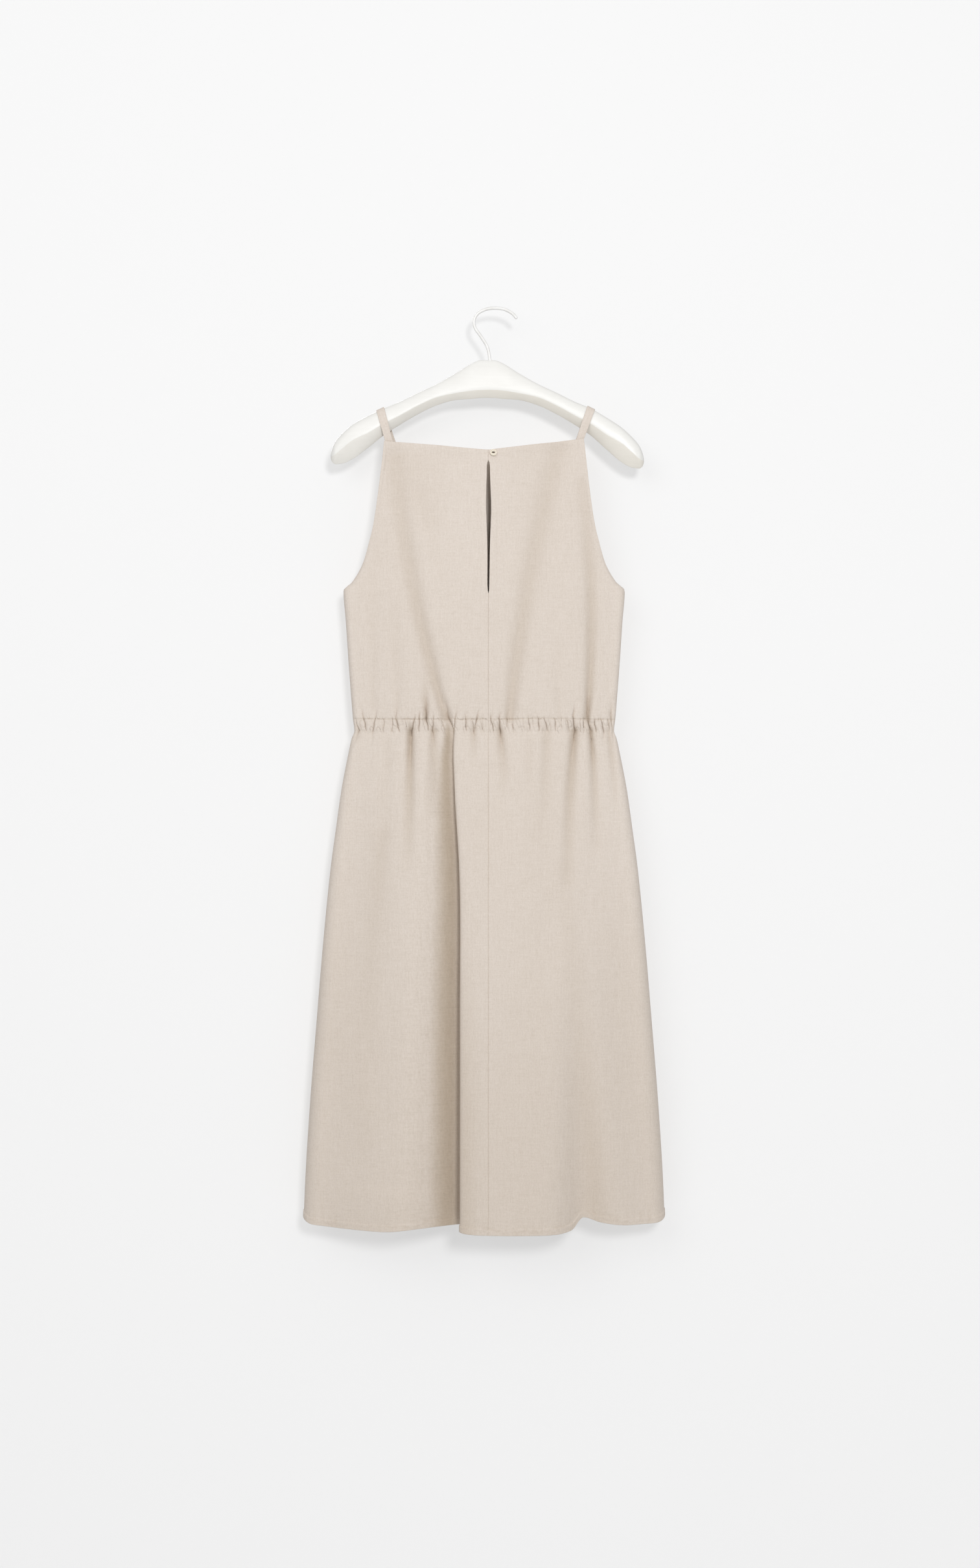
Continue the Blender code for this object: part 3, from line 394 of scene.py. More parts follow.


# How far the cloth is moved across and pressed in, and how much painted shade it gets from how deep
# in a fold it lies, from 0 to 1
def foldMove(facing, x, height, out):
    s = foldSettings
    across = np.zeros_like(x)
    inward = np.zeros_like(x)
    shade = np.zeros_like(x)
    for fold in backFolds if facing == back else frontFolds:
        trough = softTrough(fold, x, height)
        inward += trough
        shade += trough / (s["darkest"] * fold[5])
    # Painted shade in the folds; the wide folds near the hem are too open to be dark, so they get
    # none
    shade = np.clip(shade, 0, 1) ** s["foldContrast"] * smoothStep(*s["openFolds"], height)
    # Faint bands of painted shade
    for band in paintedShadeBands if facing == back else ():
        shade += softTrough(band, x, height)
    creases = np.zeros_like(x)
    for crease in casingCreases:
        creases += creaseTrough(crease, -facing * x, height)
    # Small sharp wrinkles between the creases
    nearCasing = hump(height - s["casingMiddle"], s["casingReach"], 4)
    wrinkle = softNoise(x + 0.3 * (height + 0.6), height, 0.0046, 0.011, 31 + facing)
    wrinkle = np.clip(1 - np.abs(wrinkle) / s["wrinkleShare"], 0, 1)
    creases += s["wrinkleDepth"] * wrinkle * nearCasing
    # The casing is full of elastic
    creases -= s["elasticSwell"] * np.sin(np.pi * insideCasing(height))
    # Creases never go through to the other side of the dress
    room = np.maximum((out - inward) * 0.7, 0.0004)
    inward += room * np.tanh(creases / room)
    # Painted shade in the creases, strongest in the casing
    creasePaintedShade = s["creaseShade"] + s["creaseShadeInCasing"] * nearCasing
    creasePaintedShade = creasePaintedShade * np.clip(creases / s["darkCrease"], 0, 1) ** 1.25
    shade = overlay(np.clip(shade, 0, 1), creasePaintedShade)
    # Broad soft painted shade that differs at random, and deeper painted shade towards the hem
    broadPaintedShade = s["broadShade"] + s["broadChange"] * softNoise(x, height, 0.070, 0.24, 91 + facing)
    broadPaintedShade += s["lowShade"] * (1 - smoothStep(*s["lowShadeHeights"], height))
    shade = overlay(shade, np.clip(broadPaintedShade, 0, 1))
    for shift, wide, tall, seed, depth in clothWaves:
        inward += softNoise(x + shift, height, wide, tall, seed + facing) * depth
    # The hem's stitching gathers it a little, with painted shade in the puckers
    aboveHem = height - readTable(backHem if facing == back else frontHem, x / halfGirth(height))
    pucker = softNoise(x + 0.5 * aboveHem, aboveHem, 0.0062, 0.012, 47 + facing)
    pucker = np.clip(1 - np.abs(pucker) / s["puckerShare"], 0, 1)
    pucker = pucker * hump(aboveHem - s["puckerPlace"], s["puckerReach"])
    inward += s["puckerDepth"] * pucker
    shade = overlay(shade, s["puckerShade"] * pucker)
    # Seams lie in shallow ditches, with painted shade along them
    ditch = 0.8 + 0.4 * softNoise(x, 0 * x, 0.006, 1, 81)
    seam = ditch * hump(height - waistSeam - seamWave(facing, x), s["seamReach"])
    inward += s["seamDepth"] * seam
    deepFoldPaintedShade = 0.0
    if facing == back:
        pull = 0.8 + 0.4 * softNoise(height, 0 * x, 0.007, 1, 83)
        middleSeam = pull * hump(x - backSeamX, s["middleReach"]) * (height < slitEnd)
        inward += s["middleDepth"] * middleSeam
        seam = np.maximum(seam, s["middleShade"] * middleSeam)
        line, halfWidth, depth, lean = (readTable(deepFold, height, k) for k in (1, 2, 3, 4))
        strength = hump(x - line, halfWidth)
        across += lean * strength
        inward += depth * strength
        # Painted shade deep in the fold, less of it at the very bottom, where light thrown back and
        # forth reaches
        deepFoldPaintedShade = smoothStep(0.14, 0.70, strength) * (1 - 0.45 * smoothStep(0.74, 0.96, strength))
        deepFoldPaintedShade = deepFoldPaintedShade * np.clip(depth / 0.010, 0, 1)
        # Painted shade on the rounded lip, which turns away from the light, more so near the hem
        lip = hump(x - line - s["lipPlace"] * halfWidth, s["lipReach"]) * (x > line)
        shade = overlay(shade, s["lipShade"] * lip * (1 - smoothStep(*s["lipHeights"], height)))
    # Painted shade along the seams
    shade = overlay(shade, s["seamShade"] * np.clip(seam, 0, 1))
    return across, inward, np.maximum(s["soft"] * shade, deepFoldPaintedShade)


def clothPoint(facing, share, height, withShade=False):
    share, height = np.broadcast_arrays(np.asarray(share, float), np.asarray(height, float))
    x, out = plainSection(facing, share, height)
    across, inward, shade = foldMove(facing, x, height, out)
    hold = 1 - np.abs(share) ** 24
    points = np.stack((dressX + x + across * hold, facing * (out - inward * hold), height), -1)
    return (points, shade * hold) if withShade else points


# Outward directions of a grid of points
def gridNormals(grid, facing):
    across = np.gradient(grid, axis=1)
    down = np.gradient(grid, axis=0)
    normals = np.cross(down, across) * facing
    return normals / np.maximum(np.linalg.norm(normals, axis=2, keepdims=True), 1e-12)


# Places from 0 to a length, whose spacing follows a table of distance and step
def gradedPlaces(length, steps):
    fine = np.linspace(0, length, 4000)
    rate = 1 / np.interp(fine, [row[0] for row in steps], [row[1] for row in steps])
    total = np.concatenate(([0], np.cumsum((rate[1:] + rate[:-1]) / 2 * np.diff(fine))))
    count = int(np.ceil(total[-1]))
    return np.interp(np.linspace(0, total[-1], count + 1), total, fine)


def middleEdge(sign):
    def edge(height):
        away = readTable(backSlit, height, 1 if sign < 0 else 2)
        away = np.where(height > slitEnd, away, seamHalfGap)
        return (backSeamX + sign * away) / halfGirth(height)

    return edge


def sideEdge(sign):
    return lambda height: sign * (1 - seamHalfGap / halfGirth(height))


def addObject(name, data):
    item = bpy.data.objects.new(name, data)
    bpy.context.scene.collection.objects.link(item)
    return item


# A mesh of the part, riding its one body and shown in place of a solid
def addMesh(name, node, points, faces, material, uvs=None, shade=None):
    data = bpy.data.meshes.new(name)
    data.from_pydata(np.asarray(points).reshape(-1, 3).tolist(), [], [list(f) for f in faces])
    data.validate()
    data.shade_smooth()
    if uvs is not None:
        layer = data.uv_layers.new(name="weave")
        corners = np.empty(len(data.loops), np.int32)
        data.loops.foreach_get("vertex_index", corners)
        layer.data.foreach_set("uv", np.asarray(uvs, np.float32)[corners].ravel())
    # Painted shade of each point, read by its material
    if shade is not None:
        stored = data.attributes.new("paintedShade", "FLOAT", "POINT").data
        stored.foreach_set("value", np.asarray(shade, np.float32).ravel())
    data.materials.append(material)
    item = addObject(name, data)
    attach(item, "root")
    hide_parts(node)
    return item


# Quads of a grid of vertex numbers
def gridFaces(numbers, flip=False):
    quads = np.stack((numbers[:-1, :-1], numbers[:-1, 1:], numbers[1:, 1:], numbers[1:, :-1]), -1)
    quads = quads.reshape(-1, 4)
    return quads[:, ::-1] if flip else quads

# Faces of a closed tube of rings, with a cap at each end
def tubeFaces(rows, columns, flip=False):
    numbers = np.arange(rows * columns).reshape(rows, columns)
    faces = gridFaces(np.concatenate((numbers, numbers[:, :1]), 1), flip).tolist()
    caps = (numbers[0], numbers[-1][::-1]) if flip else (numbers[0][::-1], numbers[-1])
    return faces + [cap.tolist() for cap in caps]
# Faces between two rows of vertex numbers, one of which may be several times as dense
def joinRows(upper, lower, flip=False):
    steps = min(len(upper), len(lower)) - 1
    above, below = (len(upper) - 1) // steps, (len(lower) - 1) // steps
    k = np.arange(steps)[:, None]
    top = upper[above * k + np.arange(above + 1)]
    foot = lower[below * k + np.arange(below, -1, -1)]
    faces = np.concatenate((top, foot), 1)
    return (faces[:, ::-1] if flip else faces).tolist()


# A cloth panel with an outside, an inside and rounded edges between them
def clothPanel(settings, material):
    facing = settings["facing"]
    top, bottom = settings["top"], settings["bottom"]
    left, right = settings["left"], settings["right"]
    middle = (top(0.0) + bottom(0.0)) / 2
    length = top(0.0) - bottom(0.0)
    down = gradedPlaces(length, settings["rowSteps"]) / length
    # Columns are even along the folded cloth, and closer at the edges
    fine = np.linspace(left(middle), right(middle), 3000)
    line = clothPoint(facing, fine, settings["columnHeight"])
    run = lengthAlong(line)
    girth = run[-1]
    step = settings["columnStep"]
    columnSteps = [(0, 0.00022), (0.0012, 0.0004), (0.004, step), (girth - 0.004, step)]
    columnSteps += [(girth - 0.0012, 0.0004), (girth, 0.00022)]
    places = np.interp(gradedPlaces(girth, columnSteps), run, fine)
    # Near the casing each column is split, so that small creases keep their form
    split = settings["columnSplit"]
    parts = np.arange(split * (len(places) - 1) + 1) / split
    places = np.interp(parts, np.arange(len(places)), places)
    part = (places - places[0]) / (places[-1] - places[0])
    share = np.broadcast_to(places, (len(down), len(places))).copy()
    for _ in range(3):
        high, low = top(share), bottom(share)
        height = high + (low - high) * down[:, None]
        leftShare, rightShare = left(height), right(height)
        share = leftShare + (rightShare - leftShare) * part[None, :]
    grid, shade = clothPoint(facing, share, height, True)
    normals = gridNormals(grid, facing)
    # Distance from each edge on the flat cloth, and how far the edge is rounded there
    girthHere = halfGirth(height)
    edges = (
        ((share - leftShare) * girthHere, settings["leftRound"](height)),
        ((rightShare - share) * girthHere, settings["rightRound"](height)),
        (high - height, settings["topRound"]),
        (height - low, settings["bottomRound"]),
    )
    wall = np.full_like(height, settings["wall"])
    for distance, (rounding, turned, band) in edges:
        extra = (turned - settings["wall"]) * (1 - smoothStep(band, band + 0.0012, distance))
        wall = np.maximum(wall, settings["wall"] + extra)
    drop = np.zeros_like(height)
    raised = np.zeros_like(height)
    for distance, (rounding, turned, band) in edges:
        inside = np.clip(1 - distance / rounding, 0, 1)
        curve = 1 - np.sqrt(np.clip(1 - inside**2, 0, 1))
        drop = np.maximum(drop, rounding * curve)
        raised = np.maximum(raised, np.maximum(wall - rounding, 0) * curve)
    # Thread pulls the cloth in along its stitching
    stitching = stitchingAt(facing, share)
    for place, depth in settings["threads"]:
        away = height - low - place if place > 0 else height - stitching + place + 1
        uneven = 0.75 + 0.5 * softNoise(grid[..., 0], height, 0.0035, 0.02, 41)
        drop += depth * uneven * hump(away, 0.0009)
    outer = grid - normals * drop[..., None]
    inner = grid - normals * (wall - raised)[..., None]
    rows, columns = height.shape
    denseLow, denseHigh = settings["denseHeights"]
    dense = (height[:, 0] > denseLow) & (height[:, 0] < denseHigh)
    used = np.zeros(height.shape, bool)
    used[:, ::split] = True
    used[dense] = True
    numbers = np.cumsum(used).reshape(rows, columns) - 1
    count = int(used.sum())
    kept = [numbers[k][used[k]] for k in range(rows)]
    flip = facing == front
    faces = []
    for upper, lower in zip(kept, kept[1:]):
        faces += joinRows(upper, lower, flip)
        faces += joinRows(upper + count, lower + count, not flip)
    rim = (kept[0], kept[-1], numbers[:, 0], numbers[:, -1])
    for edge, turned in zip(rim, (True, False, False, True)):
        faces += joinRows(edge, edge + count, turned != flip)
    flatPlace = np.stack((share * girthHere, height), -1)[used]
    points = np.concatenate((outer[used], inner[used]))
    uvs = np.concatenate((flatPlace, flatPlace + (0.31, 0.17)))
    shades = np.concatenate((shade[used], shade[used]))
    item = addMesh(settings["name"], settings["node"], points, faces, material, uvs, shades)
    runs = [round(lengthAlong(grid[row])[-1], 3) for row in (8, -8)]
    print(settings["name"], len(item.data.polygons), "top and foot", *runs)
    return item


# Each input takes a value, or an output of another node
def feed(tree, node, values):
    for socket, value in dict(values).items():
        if isinstance(value, bpy.types.NodeSocket):
            tree.links.new(value, node.inputs[socket])
        else:
            node.inputs[socket].default_value = value


def addNode(tree, kind, values=(), **choices):
    node = tree.nodes.new(kind)
    for label, choice in choices.items():
        setattr(node, label, choice)
    feed(tree, node, values)
    return node


def nameSockets(group, inputs, outputs):
    for label, kind, value in inputs:
        item = group.interface.new_socket(label, in_out="INPUT", socket_type="NodeSocket" + kind)
        if value is not None:
            item.default_value = value
    for label, kind in outputs:
        group.interface.new_socket(label, in_out="OUTPUT", socket_type="NodeSocket" + kind)


# A group that takes a place and numbers, and gives numbers
def shaderGroup(name, numbers, outputs):
    group = bpy.data.node_groups.new(name, "ShaderNodeTree")
    inputs = [("Place", "Vector", None)] + [(label, "Float", value) for label, value in numbers]
    nameSockets(group, inputs, [(label, "Float") for label in outputs])
    return group, group.nodes.new("NodeGroupInput").outputs, group.nodes.new("NodeGroupOutput")


# A math node; numbers and sockets may be mixed
def mathNode(tree, operation, *values, clamp=False):
    choices = dict(operation=operation, use_clamp=clamp)
    return addNode(tree, "ShaderNodeMath", enumerate(values), **choices).outputs[0]


def noiseNode(tree, vector, scale, detail=2.0, roughness=0.5, flat=False, output="Fac"):
    values = {"Vector": vector, "Scale": scale, "Detail": detail, "Roughness": roughness}
    kind = "2D" if flat else "3D"
    return addNode(tree, "ShaderNodeTexNoise", values, noise_dimensions=kind).outputs[output]


def combineNode(tree, *values):
    return addNode(tree, "ShaderNodeCombineXYZ", enumerate(values)).outputs[0]


def splitNode(tree, vector):
    return addNode(tree, "ShaderNodeSeparateXYZ", {0: vector}).outputs


def vectorNode(tree, operation, *values):
    return addNode(tree, "ShaderNodeVectorMath", enumerate(values), operation=operation).outputs[0]


def scaleNode(tree, vector, factor):
    values = {0: vector, "Scale": factor}
    return addNode(tree, "ShaderNodeVectorMath", values, operation="SCALE").outputs[0]


# Noise of its own size along each axis
def grainNode(tree, place, sizes, detail, roughness, flat=False):
    return noiseNode(tree, vectorNode(tree, "MULTIPLY", place, sizes), 1.0, detail, roughness, flat)


def rangeNode(tree, value, fromLow, fromHigh, toLow, toHigh):
    labels = ("Value", "From Min", "From Max", "To Min", "To Max")
    values = zip(labels, (value, fromLow, fromHigh, toLow, toHigh))
    return addNode(tree, "ShaderNodeMapRange", values).outputs["Result"]


def mixNode(tree, factor, first, second, blend="MIX"):
    values = {"Factor": factor, 6: first, 7: second}
    choices = dict(data_type="RGBA", blend_type=blend)
    return addNode(tree, "ShaderNodeMix", values, **choices).outputs[2]


def rampNode(tree, value, stops):
    node = addNode(tree, "ShaderNodeValToRGB", {"Fac": value})
    ramp = node.color_ramp
    while len(ramp.elements) < len(stops):
        ramp.elements.new(0.5)
    for element, (place, colour) in zip(ramp.elements, stops):
        element.position = place
        element.color = (*colour, 1)
    return node.outputs["Color"]


def bumpNode(tree, height, strength, distance):
    values = {"Height": height, "Strength": strength, "Distance": distance}
    return addNode(tree, "ShaderNodeBump", values).outputs["Normal"]


# Painted shade of a point, as its mesh says: how deep in a fold or how shaded it is
def paintedShadeNode(tree):
    return addNode(tree, "ShaderNodeAttribute", attribute_name="paintedShade").outputs["Fac"]


def groupNode(tree, group, values):
    return addNode(tree, "ShaderNodeGroup", values, node_tree=group).outputs


def objectPlace(tree):
    return tree.nodes.new("ShaderNodeTexCoord").outputs["Object"]


def newMaterial(name, values):
    material = bpy.data.materials.new(name)
    material.use_nodes = True
    shader = material.node_tree.nodes["Principled BSDF"]
    feed(material.node_tree, shader, values)
    return material, material.node_tree, shader


# Plain weave of uneven yarns
def linenWeaveGroup():
    numbers = (("Yarns per metre", 1350.0), ("Slub", 0.5))
    tree, start, end = shaderGroup("linenWeave", numbers, ("Height", "Tone", "Gaps"))
    place, density, slub = start[0], start[1], start[2]
    bend = noiseNode(tree, place, 60.0, 1.0, flat=True, output="Color")
    wander = vectorNode(tree, "SUBTRACT", bend, (0.5, 0.5, 0.5))
    wander = vectorNode(tree, "MULTIPLY", wander, (1.6, 1.6, 0.0))
    yarns = splitNode(tree, vectorNode(tree, "ADD", scaleNode(tree, place, density), wander))
    u, v = yarns[0], yarns[1]
    heights = []
    tones = []
    for across, along, turn, seed in ((u, v, -0.5, 0.0), (v, u, 0.5, 7.3)):
        number = mathNode(tree, "FLOOR", across)
        profile = mathNode(tree, "SINE", mathNode(tree, "MULTIPLY", across, 3.14159265))
        profile = mathNode(tree, "POWER", mathNode(tree, "ABSOLUTE", profile), 0.8)
        phase = mathNode(tree, "ADD", mathNode(tree, "ADD", along, number), turn)
        wave = mathNode(tree, "COSINE", mathNode(tree, "MULTIPLY", phase, 3.14159265))
        wave = mathNode(tree, "MULTIPLY_ADD", wave, 0.45, 0.55)
        slot = mathNode(tree, "MULTIPLY_ADD", number, 0.731, 0.37)
        run = combineNode(tree, slot, mathNode(tree, "MULTIPLY_ADD", along, 0.045, seed), 0.0)
        uneven = noiseNode(tree, run, 1.0, 2.0, 0.6, flat=True)
        thick = mathNode(tree, "MULTIPLY_ADD", mathNode(tree, "SUBTRACT", uneven, 0.5), slub, 1.0)
        heights.append(mathNode(tree, "MULTIPLY", mathNode(tree, "MULTIPLY", profile, wave), thick))
        tones.append(uneven)
    warp, weft = heights
    above = mathNode(tree, "SUBTRACT", warp, weft)
    top = mathNode(tree, "MULTIPLY_ADD", above, 3.0, 0.5, clamp=True)
    height = mathNode(tree, "MAXIMUM", warp, weft)
    shown = addNode(tree, "ShaderNodeMix", {"Factor": top, 2: tones[1], 3: tones[0]}).outputs[0]
    tone = mathNode(tree, "MULTIPLY", shown, 0.46)
    # Wider threads and small knots of the spinning, as soft light and dark flecks
    for sizes, detail, share in (
        ((520.0, 300.0, 1.0), 1.0, 0.30),
        ((330.0, 20.0, 1.0), 2.0, 0.15),
        ((18.0, 260.0, 1.0), 2.0, 0.09),
    ):
        flecks = grainNode(tree, place, sizes, detail, 0.6, flat=True)
        tone = mathNode(tree, "MULTIPLY_ADD", flecks, share, tone)
    gaps = rangeNode(tree, height, 0.0, 0.45, 0.0, 1.0)
    feed(tree, end, {"Height": height, "Tone": tone, "Gaps": gaps})
    return tree


linenSettings = {
    "surface": {
        "Roughness": 0.88,
        "Specular IOR Level": 0.22,
        "Sheen Weight": 0.16,
        "Sheen Roughness": 0.55,
        "Sheen Tint": (0.93, 0.88, 0.82, 1),
    },
    "weave": {"Yarns per metre": 1350.0, "Slub": 0.55},
    "tones": (
        (0.28, (0.640, 0.564, 0.492)),
        (0.50, (0.714, 0.638, 0.570)),
        (0.74, (0.776, 0.706, 0.644)),
    ),
    "gapShade": 0.86,
    "paintedShadeTint": (0.715, 0.669, 0.595, 1),
    "bump": (0.45, 0.00025),
}


def linenMaterial(weave):
    s = linenSettings
    material, tree, shader = newMaterial("linenCloth", s["surface"])
    uv = addNode(tree, "ShaderNodeUVMap", uv_map="weave").outputs[0]
    yarns = groupNode(tree, weave, {"Place": uv, **s["weave"]})
    # Painted shade in the gaps between the yarns
    gaps = rangeNode(tree, yarns["Gaps"], 0.0, 1.0, s["gapShade"], 1.0)
    colour = mixNode(tree, 1.0, rampNode(tree, yarns["Tone"], s["tones"]), gaps, "MULTIPLY")
    # Painted shade: deep in a fold the cloth is made a little darker and warmer
    deep = mixNode(tree, paintedShadeNode(tree), (1, 1, 1, 1), s["paintedShadeTint"])
    colour = mixNode(tree, 1.0, colour, deep, "MULTIPLY")
    normal = bumpNode(tree, yarns["Height"], *s["bump"])
    feed(tree, shader, {"Base Color": colour, "Normal": normal})
    return material


# Brushed-on paint over wood: faint grain, soft brush streaks and a few scuffs
def paintGroup():
    tree, start, end = shaderGroup("brushedPaint", (("Grain", 1.0),), ("Height", "Tone", "Scuff"))
    place, grain = start[0], start[1]
    streaks = grainNode(tree, place, (14.0, 260.0, 260.0), 4.0, 0.6)
    pores = grainNode(tree, place, (60.0, 900.0, 900.0), 2.0, 0.6)
    cloud = noiseNode(tree, place, 22.0, 3.0, 0.5)
    scuff = grainNode(tree, place, (90.0, 240.0, 240.0), 5.0, 0.7)
    height = mathNode(tree, "MULTIPLY_ADD", pores, 0.35, streaks)
    tone = mathNode(tree, "MULTIPLY_ADD", cloud, 0.6, mathNode(tree, "MULTIPLY", streaks, 0.4))
    height = mathNode(tree, "MULTIPLY", height, grain)
    scuff = rangeNode(tree, scuff, 0.55, 0.75, 0.0, 1.0)
    feed(tree, end, {"Height": height, "Tone": tone, "Scuff": scuff})
    return tree


paintSettings = {
    "surface": {
        "Roughness": 0.42,
        "Specular IOR Level": 0.45,
        "Coat Weight": 0.12,
        "Coat Roughness": 0.25,
    },
    "tones": ((0.30, (0.795, 0.785, 0.752)), (0.70, (0.855, 0.846, 0.818))),
    "paintedUndersideShade": (0.955, 0.925, 0.875, 1),
    "roughness": (0.38, 0.56),
    "bump": (0.16, 0.0003),
}


def paintMaterial(group):
    s = paintSettings
    material, tree, shader = newMaterial("hangerPaint", s["surface"])
    paint = groupNode(tree, group, {"Place": objectPlace(tree)})
    # Painted shade: the underside is made a little darker and warmer
    colour = rampNode(tree, paint["Tone"], s["tones"])
    colour = mixNode(tree, paintedShadeNode(tree), colour, s["paintedUndersideShade"], "MULTIPLY")
    roughness = rangeNode(tree, paint["Scuff"], 0.0, 1.0, *s["roughness"])
    normal = bumpNode(tree, paint["Height"], *s["bump"])
    feed(tree, shader, {"Base Color": colour, "Roughness": roughness, "Normal": normal})
    return material


# Powder coat on wire: fine dimples and a few rubbed spots
def coatGroup():
    tree, start, end = shaderGroup("wireCoat", (("Dimples per metre", 900.0),), ("Height", "Tone"))
    height = noiseNode(tree, scaleNode(tree, start[0], start[1]), 1.0, 2.0)
    feed(tree, end, {"Height": height, "Tone": noiseNode(tree, start[0], 130.0, 3.0)})
    return tree


coatSettings = {
    "surface": {"Roughness": 0.34, "Coat Weight": 0.25, "Coat Roughness": 0.2},
    "tones": ((0.35, (0.790, 0.780, 0.755)), (0.65, (0.870, 0.865, 0.850))),
    "roughness": (0.3, 0.7, 0.30, 0.42),
    "bump": (0.12, 0.0002),
}


def coatMaterial(group):
    s = coatSettings
    material, tree, shader = newMaterial("hookCoat", s["surface"])
    coat = groupNode(tree, group, {"Place": objectPlace(tree)})
    colour = rampNode(tree, coat["Tone"], s["tones"])
    roughness = rangeNode(tree, coat["Tone"], *s["roughness"])
    normal = bumpNode(tree, coat["Height"], *s["bump"])
    feed(tree, shader, {"Base Color": colour, "Roughness": roughness, "Normal": normal})
    return material


# Layers of a shell, as soft bent bands
def shellGroup():
    tree, start, end = shaderGroup("shellLayers", (("Bands per metre", 420.0),), ("Tone", "Height"))
    place, bands = start[0], start[1]
    bent = mathNode(tree, "MULTIPLY", noiseNode(tree, place, 240.0, 3.0), 2.2)
    axes = splitNode(tree, place)
    line = mathNode(tree, "MULTIPLY_ADD", axes[0], 0.5, axes[2])
    phase = mathNode(tree, "MULTIPLY_ADD", line, bands, bent)
    wave = mathNode(tree, "SINE", mathNode(tree, "MULTIPLY", phase, 6.2832))
    wave = mathNode(tree, "MULTIPLY", mathNode(tree, "MULTIPLY_ADD", wave, 0.5, 0.5), 0.5)
    fine = noiseNode(tree, place, 1400.0, 3.0)
    feed(tree, end, {"Tone": mathNode(tree, "MULTIPLY_ADD", fine, 0.5, wave), "Height": fine})
    return tree


shellSettings = {
    "surface": {
        "Roughness": 0.28,
        "Coat Weight": 0.45,
        "Coat Roughness": 0.12,
        "Subsurface Weight": 0.06,
    },
    "tones": (
        (0.25, (0.765, 0.660, 0.510)),
        (0.50, (0.850, 0.765, 0.640)),
        (0.78, (0.900, 0.845, 0.750)),
    ),
    # Colour of the painted shade in the sunk eye
    "eye": (0.085, 0.060, 0.045, 1),
    "bump": (0.04, 0.0001),
}


def shellMaterial(group):
    s = shellSettings
    material, tree, shader = newMaterial("buttonShell", s["surface"])
    shell = groupNode(tree, group, {"Place": objectPlace(tree)})
    # Painted shade in the sunk eye, nearly black
    colour = mixNode(tree, paintedShadeNode(tree), rampNode(tree, shell["Tone"], s["tones"]), s["eye"])
    feed(tree, shader, {"Base Color": colour, "Normal": bumpNode(tree, shell["Height"], *s["bump"])})
    return material


threadSurface = {
    "Roughness": 0.62,
    "Specular IOR Level": 0.35,
    "Sheen Weight": 0.2,
    "Sheen Roughness": 0.4,
}


def threadMaterial(name, dark, light):
    material, tree, shader = newMaterial(name, threadSurface)
    noise = noiseNode(tree, objectPlace(tree), 900.0, 2.0)
    feed(tree, shader, {"Base Color": rampNode(tree, noise, ((0.30, dark), (0.70, light)))})
    return material


linen = linenMaterial(linenWeaveGroup())
thread = threadMaterial("sewingThread", (0.470, 0.400, 0.335), (0.630, 0.560, 0.490))
# Thread dark with painted shade, for the middle seam's ditch and the button's eye
paintedShadeThread = threadMaterial("paintedShadeThread", (0.170, 0.130, 0.100), (0.260, 0.205, 0.165))
hangerPaint = paintMaterial(paintGroup())
hookCoat = coatMaterial(coatGroup())
buttonShell = shellMaterial(shellGroup())
print("materials made")


# Rounding of an edge, its thickness and the width of its turned band, which is open above a height
def roundAbove(height, low, high, band):
    isOpen = smoothStep(low, high, height)
    return 0.0004 + 0.0004 * isOpen, 0.0008 + 0.0008 * isOpen, band


def openOrSeam(height):
    return roundAbove(height, underarm - 0.002, underarm + 0.004, 0.007)


def slitOrSeam(height):
    return roundAbove(height, slitEnd - 0.002, slitEnd + 0.002, 0.008)


def plainSeam(height):
    return 0.0006, 0.0008, 0.001


bodiceRows = [(0, 0.00022), (0.0012, 0.0005), (0.004, 0.0040), (0.330, 0.0040), (0.350, 0.0013)]
bodiceRows += [(0.378, 0.0010), (0.3855, 0.00025)]
skirtRows = [(0, 0.00025), (0.0012, 0.0008), (0.030, 0.0011), (0.070, 0.0030), (0.200, 0.0060)]
skirtRows += [(0.660, 0.0060), (0.705, 0.0014), (0.724, 0.0008), (0.727, 0.00022)]
openEdge = (0.0008, 0.0016, 0.008)
seamEdge = (0.0007, 0.0008, 0.001)
hemEdge = (0.0009, 0.0019, 0.0086)
# Thread lines: distance above the hem, or 1 plus the distance from the casing's stitching, negative
hemThreads = ((0.0042, 0.00022), (0.0084, 0.00020))
casingThreads = ((-1.0014, 0.00030), (-0.9986, 0.00030))
panelSettings = {"wall": 0.0008, "columnStep": 0.0021, "columnSplit": 3}
bodiceSettings = dict(panelSettings, columnHeight=-0.585, rowSteps=bodiceRows, topRound=openEdge,
                      bottomRound=seamEdge, denseHeights=(-0.60, -0.545), threads=())
skirtSettings = dict(panelSettings, columnHeight=-0.700, rowSteps=skirtRows, topRound=seamEdge,
                     bottomRound=hemEdge, denseHeights=(-0.655, -0.58),
                     threads=hemThreads + casingThreads)


def edgeOf(table):
    return lambda share: readTable(table, share)


# The waist seam, seen from the side of one panel
def waistOf(facing, sign):
    seam = waistSeam + sign * seamHalfGap
    return lambda share: seam + seamWave(facing, share * halfGirth(waistSeam))


